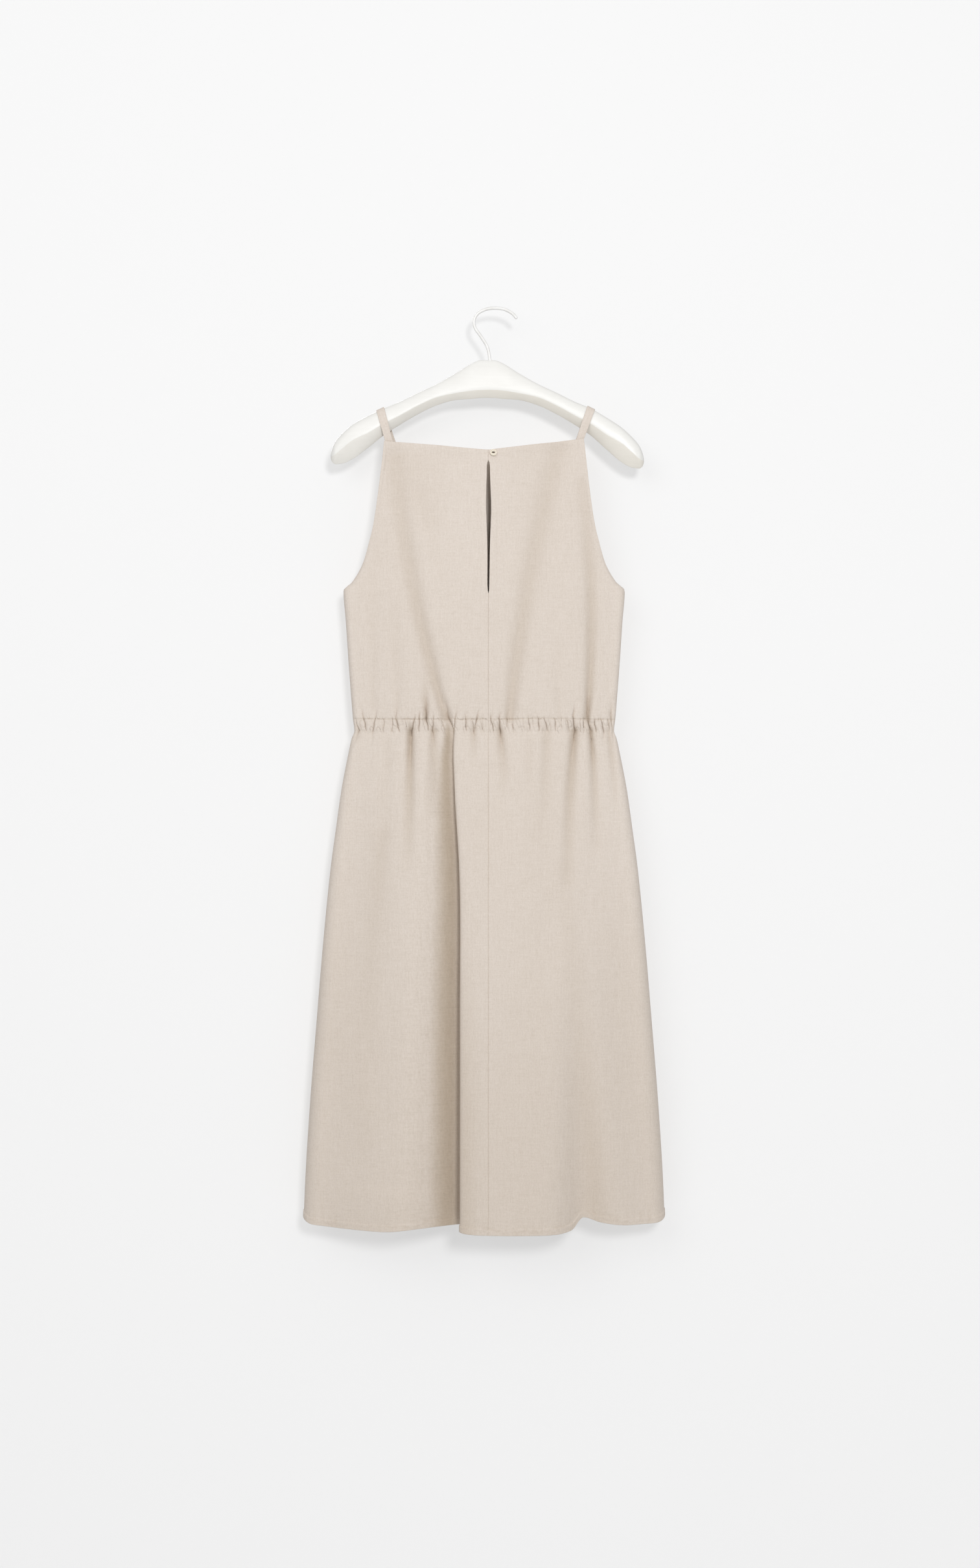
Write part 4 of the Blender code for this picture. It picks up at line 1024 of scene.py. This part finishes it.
backBodice = dict(bodiceSettings, facing=back, top=edgeOf(backNeck), bottom=waistOf(back, 1))
backSkirt = dict(skirtSettings, facing=back, top=waistOf(back, -1), bottom=edgeOf(backHem))
sideRound = dict(leftRound=plainSeam, rightRound=plainSeam)
panels = (
    dict(backBodice, name="clothBackBodiceLeft", node="back_bodice_left",
         left=sideEdge(-1), right=middleEdge(-1), leftRound=openOrSeam, rightRound=slitOrSeam),
    dict(backBodice, name="clothBackBodiceRight", node="back_bodice_right",
         left=middleEdge(1), right=sideEdge(1), leftRound=slitOrSeam, rightRound=openOrSeam),
    dict(bodiceSettings, name="clothFrontBodice", node="front_bodice", facing=front,
         columnStep=0.0036, top=edgeOf(frontNeck), bottom=waistOf(front, 1),
         left=sideEdge(-1), right=sideEdge(1), leftRound=openOrSeam, rightRound=openOrSeam),
    dict(backSkirt, **sideRound, name="clothBackSkirtLeft", node="back_skirt_left",
         left=sideEdge(-1), right=middleEdge(-1)),
    dict(backSkirt, **sideRound, name="clothBackSkirtRight", node="back_skirt_right",
         left=middleEdge(1), right=sideEdge(1)),
    dict(skirtSettings, **sideRound, name="clothFrontSkirt", node="front_skirt", facing=front,
         columnStep=0.0042, top=waistOf(front, -1), bottom=edgeOf(frontHem),
         left=sideEdge(-1), right=sideEdge(1)),
)
cloths = {settings["name"]: clothPanel(settings, linen) for settings in panels}
print("cloth panels made")


# Stitches along lines: each line of points becomes a row of short threads
def stitchTree():
    tree = bpy.data.node_groups.new("stitchRow", "GeometryNodeTree")
    inputs = (
        ("Geometry", "Geometry", None),
        ("Pitch", "Float", 0.0028),
        ("Stitch length", "Float", 0.0022),
        ("Thread width", "Float", 0.0004),
        ("Unevenness", "Float", 0.1),
        ("Seed", "Int", 5),
        ("Material", "Material", None),
    )
    nameSockets(tree, inputs, [("Geometry", "Geometry")])
    start = tree.nodes.new("NodeGroupInput").outputs
    width, uneven = start["Thread width"], start["Unevenness"]
    curve = addNode(tree, "GeometryNodeMeshToCurve", {0: start["Geometry"]}).outputs[0]
    along = {"Curve": curve, "Length": start["Pitch"]}
    points = addNode(tree, "GeometryNodeCurveToPoints", along, mode="LENGTH").outputs
    stitch = addNode(tree, "GeometryNodeMeshUVSphere", {"Segments": 6, "Rings": 5, "Radius": 0.5})
    low, high = mathNode(tree, "SUBTRACT", 1.0, uneven), mathNode(tree, "ADD", 1.0, uneven)
    vary = addNode(tree, "FunctionNodeRandomValue", {2: low, 3: high, "Seed": start["Seed"]})
    size = combineNode(tree, width, width, start["Stitch length"])
    placing = {
        "Points": points["Points"],
        "Instance": stitch.outputs["Mesh"],
        "Rotation": points["Rotation"],
        "Scale": scaleNode(tree, size, vary.outputs[1]),
    }
    made = addNode(tree, "GeometryNodeInstanceOnPoints", placing).outputs[0]
    made = addNode(tree, "GeometryNodeRealizeInstances", {0: made}).outputs[0]
    made = addNode(tree, "GeometryNodeSetShadeSmooth", {"Geometry": made}).outputs[0]
    look = {"Geometry": made, "Material": start["Material"]}
    made = addNode(tree, "GeometryNodeSetMaterial", look).outputs[0]
    addNode(tree, "NodeGroupOutput", {0: made})
    return tree


def sewRows(name, settings, lines, tree, material):
    points = np.concatenate(lines)
    edges = []
    start = 0
    for line in lines:
        edges += [(start + k, start + k + 1) for k in range(len(line) - 1)]
        start += len(line)
    data = bpy.data.meshes.new(name)
    data.from_pydata(points.tolist(), edges, [])
    item = addObject(name, data)
    modifier = item.modifiers.new("stitches", "NODES")
    modifier.node_group = tree
    sockets = {s.name: s.identifier for s in tree.interface.items_tree if s.in_out == "INPUT"}
    for label, value in settings.items():
        modifier[sockets[label]] = value
    modifier[sockets["Material"]] = material
    view = bpy.context.evaluated_depsgraph_get()
    made = bpy.data.meshes.new_from_object(item.evaluated_get(view), depsgraph=view)
    item.modifiers.clear()
    item.data = made
    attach(item, "root")
    print(name, len(made.polygons))


# A line on the outside of the cloth, just proud of it
def threadLine(facing, heightAt, above, lift=0.00005):
    share = np.linspace(-0.998, 0.998, 1400)
    height = heightAt(share) + above
    line = clothPoint(facing, share, height)
    nudge = 0.0006
    along = clothPoint(facing, share + 0.002, height) - clothPoint(facing, share - 0.002, height)
    up = clothPoint(facing, share, height + nudge) - clothPoint(facing, share, height - nudge)
    out = np.cross(along, up) * -facing
    out /= np.linalg.norm(out, axis=1, keepdims=True)
    return line + out * lift


# The middle seam's thread shows between its two edges; its dark colour is painted shade of the seam's
# ditch
def seamLine(top, bottom):
    height = np.linspace(top, bottom, 900)
    return clothPoint(back, backSeamX / halfGirth(height), height) + (0, -0.00002, 0)


hemStitches = {
    "Pitch": 0.0027,
    "Stitch length": 0.0023,
    "Thread width": 0.00042,
    "Unevenness": 0.10,
    "Seed": 4,
}
casingStitches = {
    "Pitch": 0.0022,
    "Stitch length": 0.0018,
    "Thread width": 0.00040,
    "Unevenness": 0.12,
    "Seed": 9,
}
seamStitches = {
    "Pitch": 0.0036,
    "Stitch length": 0.0021,
    "Thread width": 0.00036,
    "Unevenness": 0.25,
    "Seed": 13,
}
tree = stitchTree()
hemMiddle = float(readTable(backHem, 0.02))
hemLines = []
casingLines = []
for facing, hem in ((back, backHem), (front, frontHem)):
    for above in (0.0042, 0.0084):
        hemLines.append(threadLine(facing, edgeOf(hem), above))
    for above in (-0.0014, 0.0014):
        casingLines.append(threadLine(facing, lambda share: stitchingAt(facing, share), above))
seamLines = [seamLine(slitEnd - 0.002, waistSeam + 0.003)]
seamLines.append(seamLine(waistSeam - 0.003, hemMiddle + 0.003))
sewRows("hemStitches", hemStitches, hemLines, tree, thread)
sewRows("casingStitches", casingStitches, casingLines, tree, thread)
sewRows("seamStitches", seamStitches, seamLines, tree, paintedShadeThread)


armX = -0.0112
# x from the middle, top, ridge, underside, half depth
armSections = (
    (0.0000, -0.0725, -0.1163, -0.1265, 0.0075),
    (0.0110, -0.0728, -0.1165, -0.1268, 0.0075),
    (0.0205, -0.0763, -0.1172, -0.1279, 0.0075),
    (0.0446, -0.0911, -0.1209, -0.1297, 0.0076),
    (0.0707, -0.1060, -0.1265, -0.1367, 0.0080),
    (0.1004, -0.1200, -0.1395, -0.1507, 0.0086),
    (0.1256, -0.1325, -0.1535, -0.1655, 0.0094),
    (0.1469, -0.1414, -0.1646, -0.1795, 0.0102),
    (0.1711, -0.1553, -0.1813, -0.2009, 0.0112),
    (0.1934, -0.1702, -0.1944, -0.2195, 0.0116),
    (0.2083, -0.1841, -0.2074, -0.2269, 0.0108),
    (0.2178, -0.1953, -0.2150, -0.2280, 0.0088),
    (0.2215, -0.2030, -0.2168, -0.2262, 0.0060),
    (0.2236, -0.2092, -0.2172, -0.2232, 0.0036),
    (0.2244, -0.2135, -0.2165, -0.2196, 0.0012),
)
hangerSettings = {
    "upperSquareness": 2.6,
    "lowerSquareness": 1.12,
    "around": 72,
    "stations": 260,
    "leftLift": 0.0062,
}


# A point of the arm's section, by angle from its top towards the back
def armPoint(angle, x):
    # The left arm bends up a little more at its end
    lift = hangerSettings["leftLift"] * smoothStep(0.135, 0.215, -x)
    x = np.abs(x)
    top, ridge, under, halfDepth = (readTable(armSections, x, k) for k in (1, 2, 3, 4))
    rise, turn = np.cos(angle), np.sin(angle)
    upper = rise > 0
    squareness = np.where(upper, hangerSettings["upperSquareness"], hangerSettings["lowerSquareness"])
    power = 2 / squareness
    reach = np.where(upper, top - ridge, ridge - under)
    y = -halfDepth * np.copysign(np.abs(turn) ** power, turn)
    z = ridge + reach * np.copysign(np.abs(rise) ** power, rise)
    return y, z + lift

def hangerArms():
    s = hangerSettings
    half = np.linspace(0, 1, s["stations"] // 2)
    places = 0.2244 * (1 - (1 - half) ** 1.25)
    places = np.concatenate((-places[:0:-1], places))
    # More points near the top and at the ridge, where the section turns
    quarter = np.linspace(0, 1, s["around"] // 4, endpoint=False)
    angles = np.concatenate([(n + quarter) * np.pi / 2 for n in range(4)])
    angles += 0.10 * np.sin(4 * angles) / 4
    x, angle = np.meshgrid(places, angles, indexing="ij")
    y, z = armPoint(angle, x)
    rings = np.stack((armX + x, y, z), -1)
    # Rounded ends
    ends = []
    for ring, side in ((rings[0], -1), (rings[-1], 1)):
        centre = ring.mean(0)
        for out, size in ((0.00012, 0.80), (0.00020, 0.50), (0.00024, 0.2)):
            ends.append(centre + (ring - centre) * size + (side * out, 0, 0))
    rings = np.concatenate((np.array(ends[2::-1]), rings, np.array(ends[3:])))
    # Painted shade on the underside, weaker on the left arm
    under = smoothStep(0.0, 0.12, -np.cos(np.concatenate((angle[:3], angle, angle[-3:]))))
    under = under * (0.45 + 0.55 * smoothStep(-0.20, 0.05, rings[..., 0]))
    faces = tubeFaces(*rings.shape[:2])
    return addMesh("hangerWood", "hanger_arms", rings, faces, hangerPaint,
                   shade=under)


# Points of a smooth curve through others
def curveThrough(points, steps):
    points = np.asarray(points, float)
    ends = np.concatenate(([2 * points[0] - points[1]], points, [2 * points[-1] - points[-2]]))
    line = []
    for a, b, c, d in zip(ends, ends[1:], ends[2:], ends[3:]):
        for t in np.arange(steps) / steps:
            bend = (2 * a - 5 * b + 4 * c - d) * t**2 + (3 * b - a - 3 * c + d) * t**3
            line.append(b + ((c - a) * t + bend) / 2)
    line.append(points[-1])
    return np.array(line)


# A round wire along a line, with rounded ends
def roundWire(name, node, line, radius, around, material, uvScale=None):
    line = np.asarray(line, float)
    tangent = np.gradient(line, axis=0)
    tangent /= np.linalg.norm(tangent, axis=1, keepdims=True)
    side = np.array((0.0, 1.0, 0.0))
    if abs(tangent[0] @ side) > 0.9:
        side = np.array((1.0, 0.0, 0.0))
    sides = []
    for direction in tangent:
        side = side - direction * (side @ direction)
        side = side / np.linalg.norm(side)
        sides.append(side)
    sides = np.array(sides)
    other = np.cross(tangent, sides)
    centres = [*line]
    sizes = [1.0] * len(line)
    frames = [(sides[k], other[k]) for k in range(len(line))]
    for turn in (0.45, 0.8, 1.05, 1.3):
        out, size = np.sin(turn), np.cos(turn)
        first = line[0] - tangent[0] * radius * out
        centres = [first, *centres, line[-1] + tangent[-1] * radius * out]
        sizes = [size, *sizes, size]
        frames = [frames[0], *frames, frames[-1]]
    angles = np.linspace(0, 2 * np.pi, around, endpoint=False)
    rings = []
    for centre, size, (a, b) in zip(centres, sizes, frames):
        ring = np.cos(angles)[:, None] * a + np.sin(angles)[:, None] * b
        rings.append(centre + radius * size * ring)
    rings = np.array(rings)
    uvs = None
    if uvScale:
        u, v = np.meshgrid(angles * radius, lengthAlong(np.array(centres)))
        uvs = np.stack((u, v), -1).reshape(-1, 2) * uvScale
    return addMesh(name, node, rings, tubeFaces(*rings.shape[:2]), material, uvs)


hookSettings = {
    "wire": 0.0045,
    # x, height of the wire's middle line
    "line": (
        (-0.0074, -0.0905),
        (-0.0074, -0.0725),
        (-0.0112, -0.0540),
        (-0.0200, -0.0390),
        (-0.0288, -0.0262),
        (-0.0302, -0.0150),
        (-0.0245, -0.0052),
        (-0.0130, 0.0006),
        (0.0000, 0.00225),
        (0.0130, 0.0006),
        (0.0240, -0.0050),
        (0.0300, -0.0113),
    ),
}
wood = hangerArms()
hookLine = curveThrough([(x, 0, height) for x, height in hookSettings["line"][1:]], 12)
hookLine = np.concatenate(([(-0.0074, 0, -0.0905), (-0.0074, 0, -0.0785)], hookLine))
roundWire("hangerHookWire", "hanger_hook", hookLine, hookSettings["wire"] / 2, 28, hookCoat)
print("hanger made")
strapSettings = {
    "width": 0.0112,
    "wall": 0.0016,
    "seat": 0.0005,
    "tail": 0.0090,
    # name, node, x at the back neck, on the arm, at the front neck
    "straps": (
        ("strapLeftCloth", "strap_left", -0.1360, -0.1488, -0.1311),
        ("strapRightCloth", "strap_right", 0.1372, 0.1532, 0.1360),
    ),
}


# One lengthwise line of a strap's inner face, behind the back neck edge, over the arm, and down
def strapRail(xBack, xArm, xFront, offset):
    s = strapSettings
    arm = dressX + xArm + offset - armX
    armTop = float(armPoint(np.array(0.0), np.array(arm))[1])
    tails = {}
    slants = {}
    for facing, neck, x in ((back, backNeck, xBack), (front, frontNeck, xFront)):
        share = (x + offset) / halfGirth(readTable(neck, np.copysign(1.0, x)))
        edge = float(readTable(neck, share))
        inward = 0.0012 + 0.0003 + s["wall"]
        tails[facing] = []
        for height in (edge, edge - s["tail"]):
            point = clothPoint(facing, share, height)
            tails[facing].append(np.array((dressX + x + offset, point[1] - facing * inward, height)))
        slants[facing] = (tails[facing][0][0] - armX - arm) / (armTop - edge)
    overArm = []
    for angle in np.linspace(np.pi / 2, -np.pi / 2, 33):
        x = arm
        for _ in range(12):
            y, z = armPoint(np.array(angle), np.array(x))
            x = arm + (armTop - z) * slants[back if angle >= 0 else front]
        # Seated just off the wood
        normal = np.array((0.0, -np.sin(angle), np.cos(angle)))
        overArm.append(np.array((armX + x, y, z)) + normal * s["seat"])
    return np.array([tails[back][1], tails[back][0], *overArm, tails[front][0], tails[front][1]])


def evenLine(line, count):
    run = lengthAlong(line)
    at = np.linspace(0, run[-1], count)
    return np.stack([np.interp(at, run, line[:, k]) for k in range(3)], -1)


def strapCloth(name, node, xBack, xArm, xFront):
    s = strapSettings
    count = 190
    rails = []
    for offset in (-s["width"] / 2, s["width"] / 2):
        line = evenLine(strapRail(xBack, xArm, xFront, offset), count)
        for _ in range(6):
            line[1:-1] = line[1:-1] * 0.5 + (line[:-2] + line[2:]) * 0.25
        rails.append(line)
    left, right = rails
    across = right - left
    tangent = np.gradient((left + right) / 2, axis=0)
    out = np.cross(tangent, across)
    out /= np.linalg.norm(out, axis=1, keepdims=True)
    if out[count // 2][2] < 0:
        out = -out
    angles = np.linspace(0, 2 * np.pi, 24, endpoint=False)
    # Flat band with full edges and a faint hollow along its middle
    reach = np.copysign(np.abs(np.cos(angles)) ** 0.30, np.cos(angles)) / 2
    rise = 0.5 + 0.5 * np.copysign(np.abs(np.sin(angles)) ** 0.75, np.sin(angles))
    rise = rise - 0.10 * np.exp(-((reach / 0.22) ** 2)) * (np.sin(angles) > 0)
    middle = (left + right) / 2
    run = lengthAlong(middle)
    uneven = 1 + 0.03 * softNoise(run, run * 0, 0.012, 1, 61)
    rings = middle[:, None] + across[:, None] * (reach[None, :] * uneven[:, None])[..., None]
    rings = rings + out[:, None] * (rise * s["wall"])[None, :, None]
    shape = rings.shape[:2]
    u = np.broadcast_to(reach * s["width"] + (rise > 0.5) * 0.003, shape)
    v = np.broadcast_to(run[:, None], shape)
    uvs = np.stack((u + (0.45 if xBack > 0 else 0.62), v), -1).reshape(-1, 2)
    item = addMesh(name, node, rings, tubeFaces(*shape, True), linen, uvs)
    print(name, "length", round(float(run[-1]), 3))
    return item


straps = [strapCloth(*row) for row in strapSettings["straps"]]


buttonSettings = {
    "x": 0.0133,
    "height": -0.2073,
    "shank": 0.0022,
    # radius, height above the underside
    "profile": (
        (0.0, 0.0017), (0.0026, 0.0018), (0.0033, 0.0021), (0.0039, 0.0026), (0.0044, 0.0027),
        (0.0048, 0.0022), (0.0049, 0.0016), (0.0049, 0.0010), (0.0045, 0.0004), (0.0040, 0.0001),
    ),
    "eye": (0.0024, 0.0014, 0.0011),
    "holeSpacing": 0.0026,
}


def buttonPiece():
    s = buttonSettings
    share = s["x"] / halfGirth(s["height"])
    seat = clothPoint(back, share, s["height"]) + (0, -0.0003, 0)
    run = curveThrough([(r, h, 0) for r, h in s["profile"]], 4)[1:, :2]
    angles = np.linspace(0, 2 * np.pi, 64, endpoint=False)
    radius, angle = np.meshgrid(np.maximum(run[:, 0], 0.00005), angles, indexing="ij")
    height = np.broadcast_to(run[:, 1:2], radius.shape).copy()
    x, z = radius * np.cos(angle), radius * np.sin(angle)
    # The sunk eye, with its two holes
    inEye = np.hypot(x / s["eye"][0], z / s["eye"][1])
    height -= s["eye"][2] * (1 - smoothStep(0.70, 1.05, inEye)) * (radius < 0.003)
    for side in (-1, 1):
        inHole = np.hypot(x - side * s["holeSpacing"] / 2, z) / 0.0005
        height -= 0.0008 * (1 - smoothStep(0.6, 1.1, inHole)) * (radius < 0.003)
    rings = np.stack((seat[0] + x, seat[1] - s["shank"] - height, seat[2] + z), -1)
    # Painted shade in the sunk eye
    dark = (1 - smoothStep(0.75, 1.05, inEye)) * (radius < 0.003)
    faces = tubeFaces(*rings.shape[:2], True)
    addMesh("buttonFace", "button", rings, faces, buttonShell, shade=dark)
    return seat


seat = buttonPiece()
face = seat[1] - buttonSettings["shank"]
shankLine = evenLine(np.array([seat + (0, 0.0004, 0), (seat[0], face + 0.0002, seat[2])]), 8)
roundWire("buttonShankThread", "button", shankLine, 0.0007, 16, thread)
# Thread through the two holes, from one side to the other, dark with painted shade of the eye
crossEnds = ((-0.0015, -0.0002), (-0.0009, -0.0012), (0.0009, -0.0012), (0.0015, -0.0002))
for k, lift in enumerate((-0.00025, 0.00025)):
    ends = [(seat[0] + across, face + out, seat[2] + lift) for across, out in crossEnds]
    name = f"buttonThread{k + 1}"
    roundWire(name, "button", curveThrough(ends, 6), 0.00022, 10, paintedShadeThread)

loopSettings = {
    "wire": 0.0014,
    "halfHeight": 0.0018,
    "startX": -0.0030,
    # from the start: across, inward, half height
    "tail": ((0.0, 0.0022, 0.0021), (0.0050, 0.0020, 0.0021), (0.0075, 0.0004, 0.0020)),
}
lift = seat[1] - loopSettings["wire"] / 2 - 0.0001
reach = dressX + loopSettings["startX"]
tail = loopSettings["tail"]
turn = loopSettings["halfHeight"]
loopLine = [(reach + across, lift + inward, seat[2] + high) for across, inward, high in tail]
for angle in np.linspace(np.pi / 2, -np.pi / 2, 9):
    loopLine.append((seat[0] + np.cos(angle) * turn, lift, seat[2] + np.sin(angle) * turn))
loopLine += [(reach + across, lift + inward, seat[2] - high) for across, inward, high in tail[::-1]]
loopLine = curveThrough(loopLine, 5)
loop = roundWire("buttonLoopCloth", "button_loop", loopLine, loopSettings["wire"] / 2, 14, linen, 1.0)
print("button made")


stageSettings = {"wallY": 0.046, "floor": -2.3, "wall": 0.44, "wallGlow": 0.462, "ground": 0.70}


def stagePlane(name, corners, grey, glow=0):
    data = bpy.data.meshes.new(name)
    data.from_pydata(corners, [], [(0, 1, 2, 3)])
    look = {"Base Color": (grey, grey, grey, 1), "Roughness": 0.9, "Specular IOR Level": 0.1}
    material, tree, shader = newMaterial(name + "Paint", look)
    # The wall glows a little, which keeps its shadows faint, and can't be seen from behind
    if glow:
        feed(tree, shader, {"Emission Color": (1, 1, 1, 1), "Emission Strength": glow})
        behind = tree.nodes.new("ShaderNodeNewGeometry").outputs["Backfacing"]
        clear = tree.nodes.new("ShaderNodeBsdfTransparent").outputs[0]
        mix = addNode(tree, "ShaderNodeMixShader", {0: behind, 1: shader.outputs[0], 2: clear})
        feed(tree, tree.nodes["Material Output"], {"Surface": mix.outputs[0]})
    data.materials.append(material)
    item = addObject(name, data)
    return item


y = stageSettings["wallY"]
wallCorners = [(-6, y, -4), (6, y, -4), (6, y, 5), (-6, y, 5)]
wall = stagePlane("studioWall", wallCorners, stageSettings["wall"], stageSettings["wallGlow"])
for ray in ("visible_diffuse", "visible_glossy", "visible_transmission", "visible_shadow"):
    setattr(wall, ray, False)
z = stageSettings["floor"]
floorCorners = [(-6, -6, z), (6, -6, z), (6, 6, z), (-6, 6, z)]
stagePlane("studioFloor", floorCorners, stageSettings["ground"])


def areaLight(name, place, target, power, size):
    data = bpy.data.lights.new(name, "AREA")
    data.shape = "DISK"
    data.energy = power
    data.size = size
    item = addObject(name, data)
    item.location = place
    item.rotation_mode = "QUATERNION"
    item.rotation_quaternion = (Vector(target) - Vector(place)).to_track_quat("-Z", "Y")
    return item


areaLight("keyLight", (0.75, -4.2, 0.45), (0, 0, -0.5), 76, 0.8)
areaLight("fillLight", (-1.6, -3.0, 0.9), (0, 0, -0.5), 23, 2.4)
areaLight("rearLight", (-1.2, 3.4, 1.2), (0, 0, -0.6), 45, 2.0)
world = bpy.data.worlds.new("studioAir")
world.use_nodes = True
air = world.node_tree.nodes["Background"]
feed(world.node_tree, air, {"Color": (1.0, 1.0, 1.0, 1), "Strength": 0.55})
scene = bpy.context.scene
scene.world = world
scene.view_settings.view_transform = "Standard"

# Camera level with the middle of the photo's frame
cameraSettings = {"x": -0.0074, "z": -0.6808, "distance": 3.0, "frameHeight": 2.2506}
cameraData = bpy.data.cameras.new("photoCamera")
cameraData.sensor_width = 36
cameraData.lens = 36 * cameraSettings["distance"] / cameraSettings["frameHeight"]
camera = addObject("photoCamera", cameraData)
camera.location = (cameraSettings["x"], -cameraSettings["distance"], cameraSettings["z"])
camera.rotation_euler = (np.pi / 2, 0, 0)
scene.camera = camera
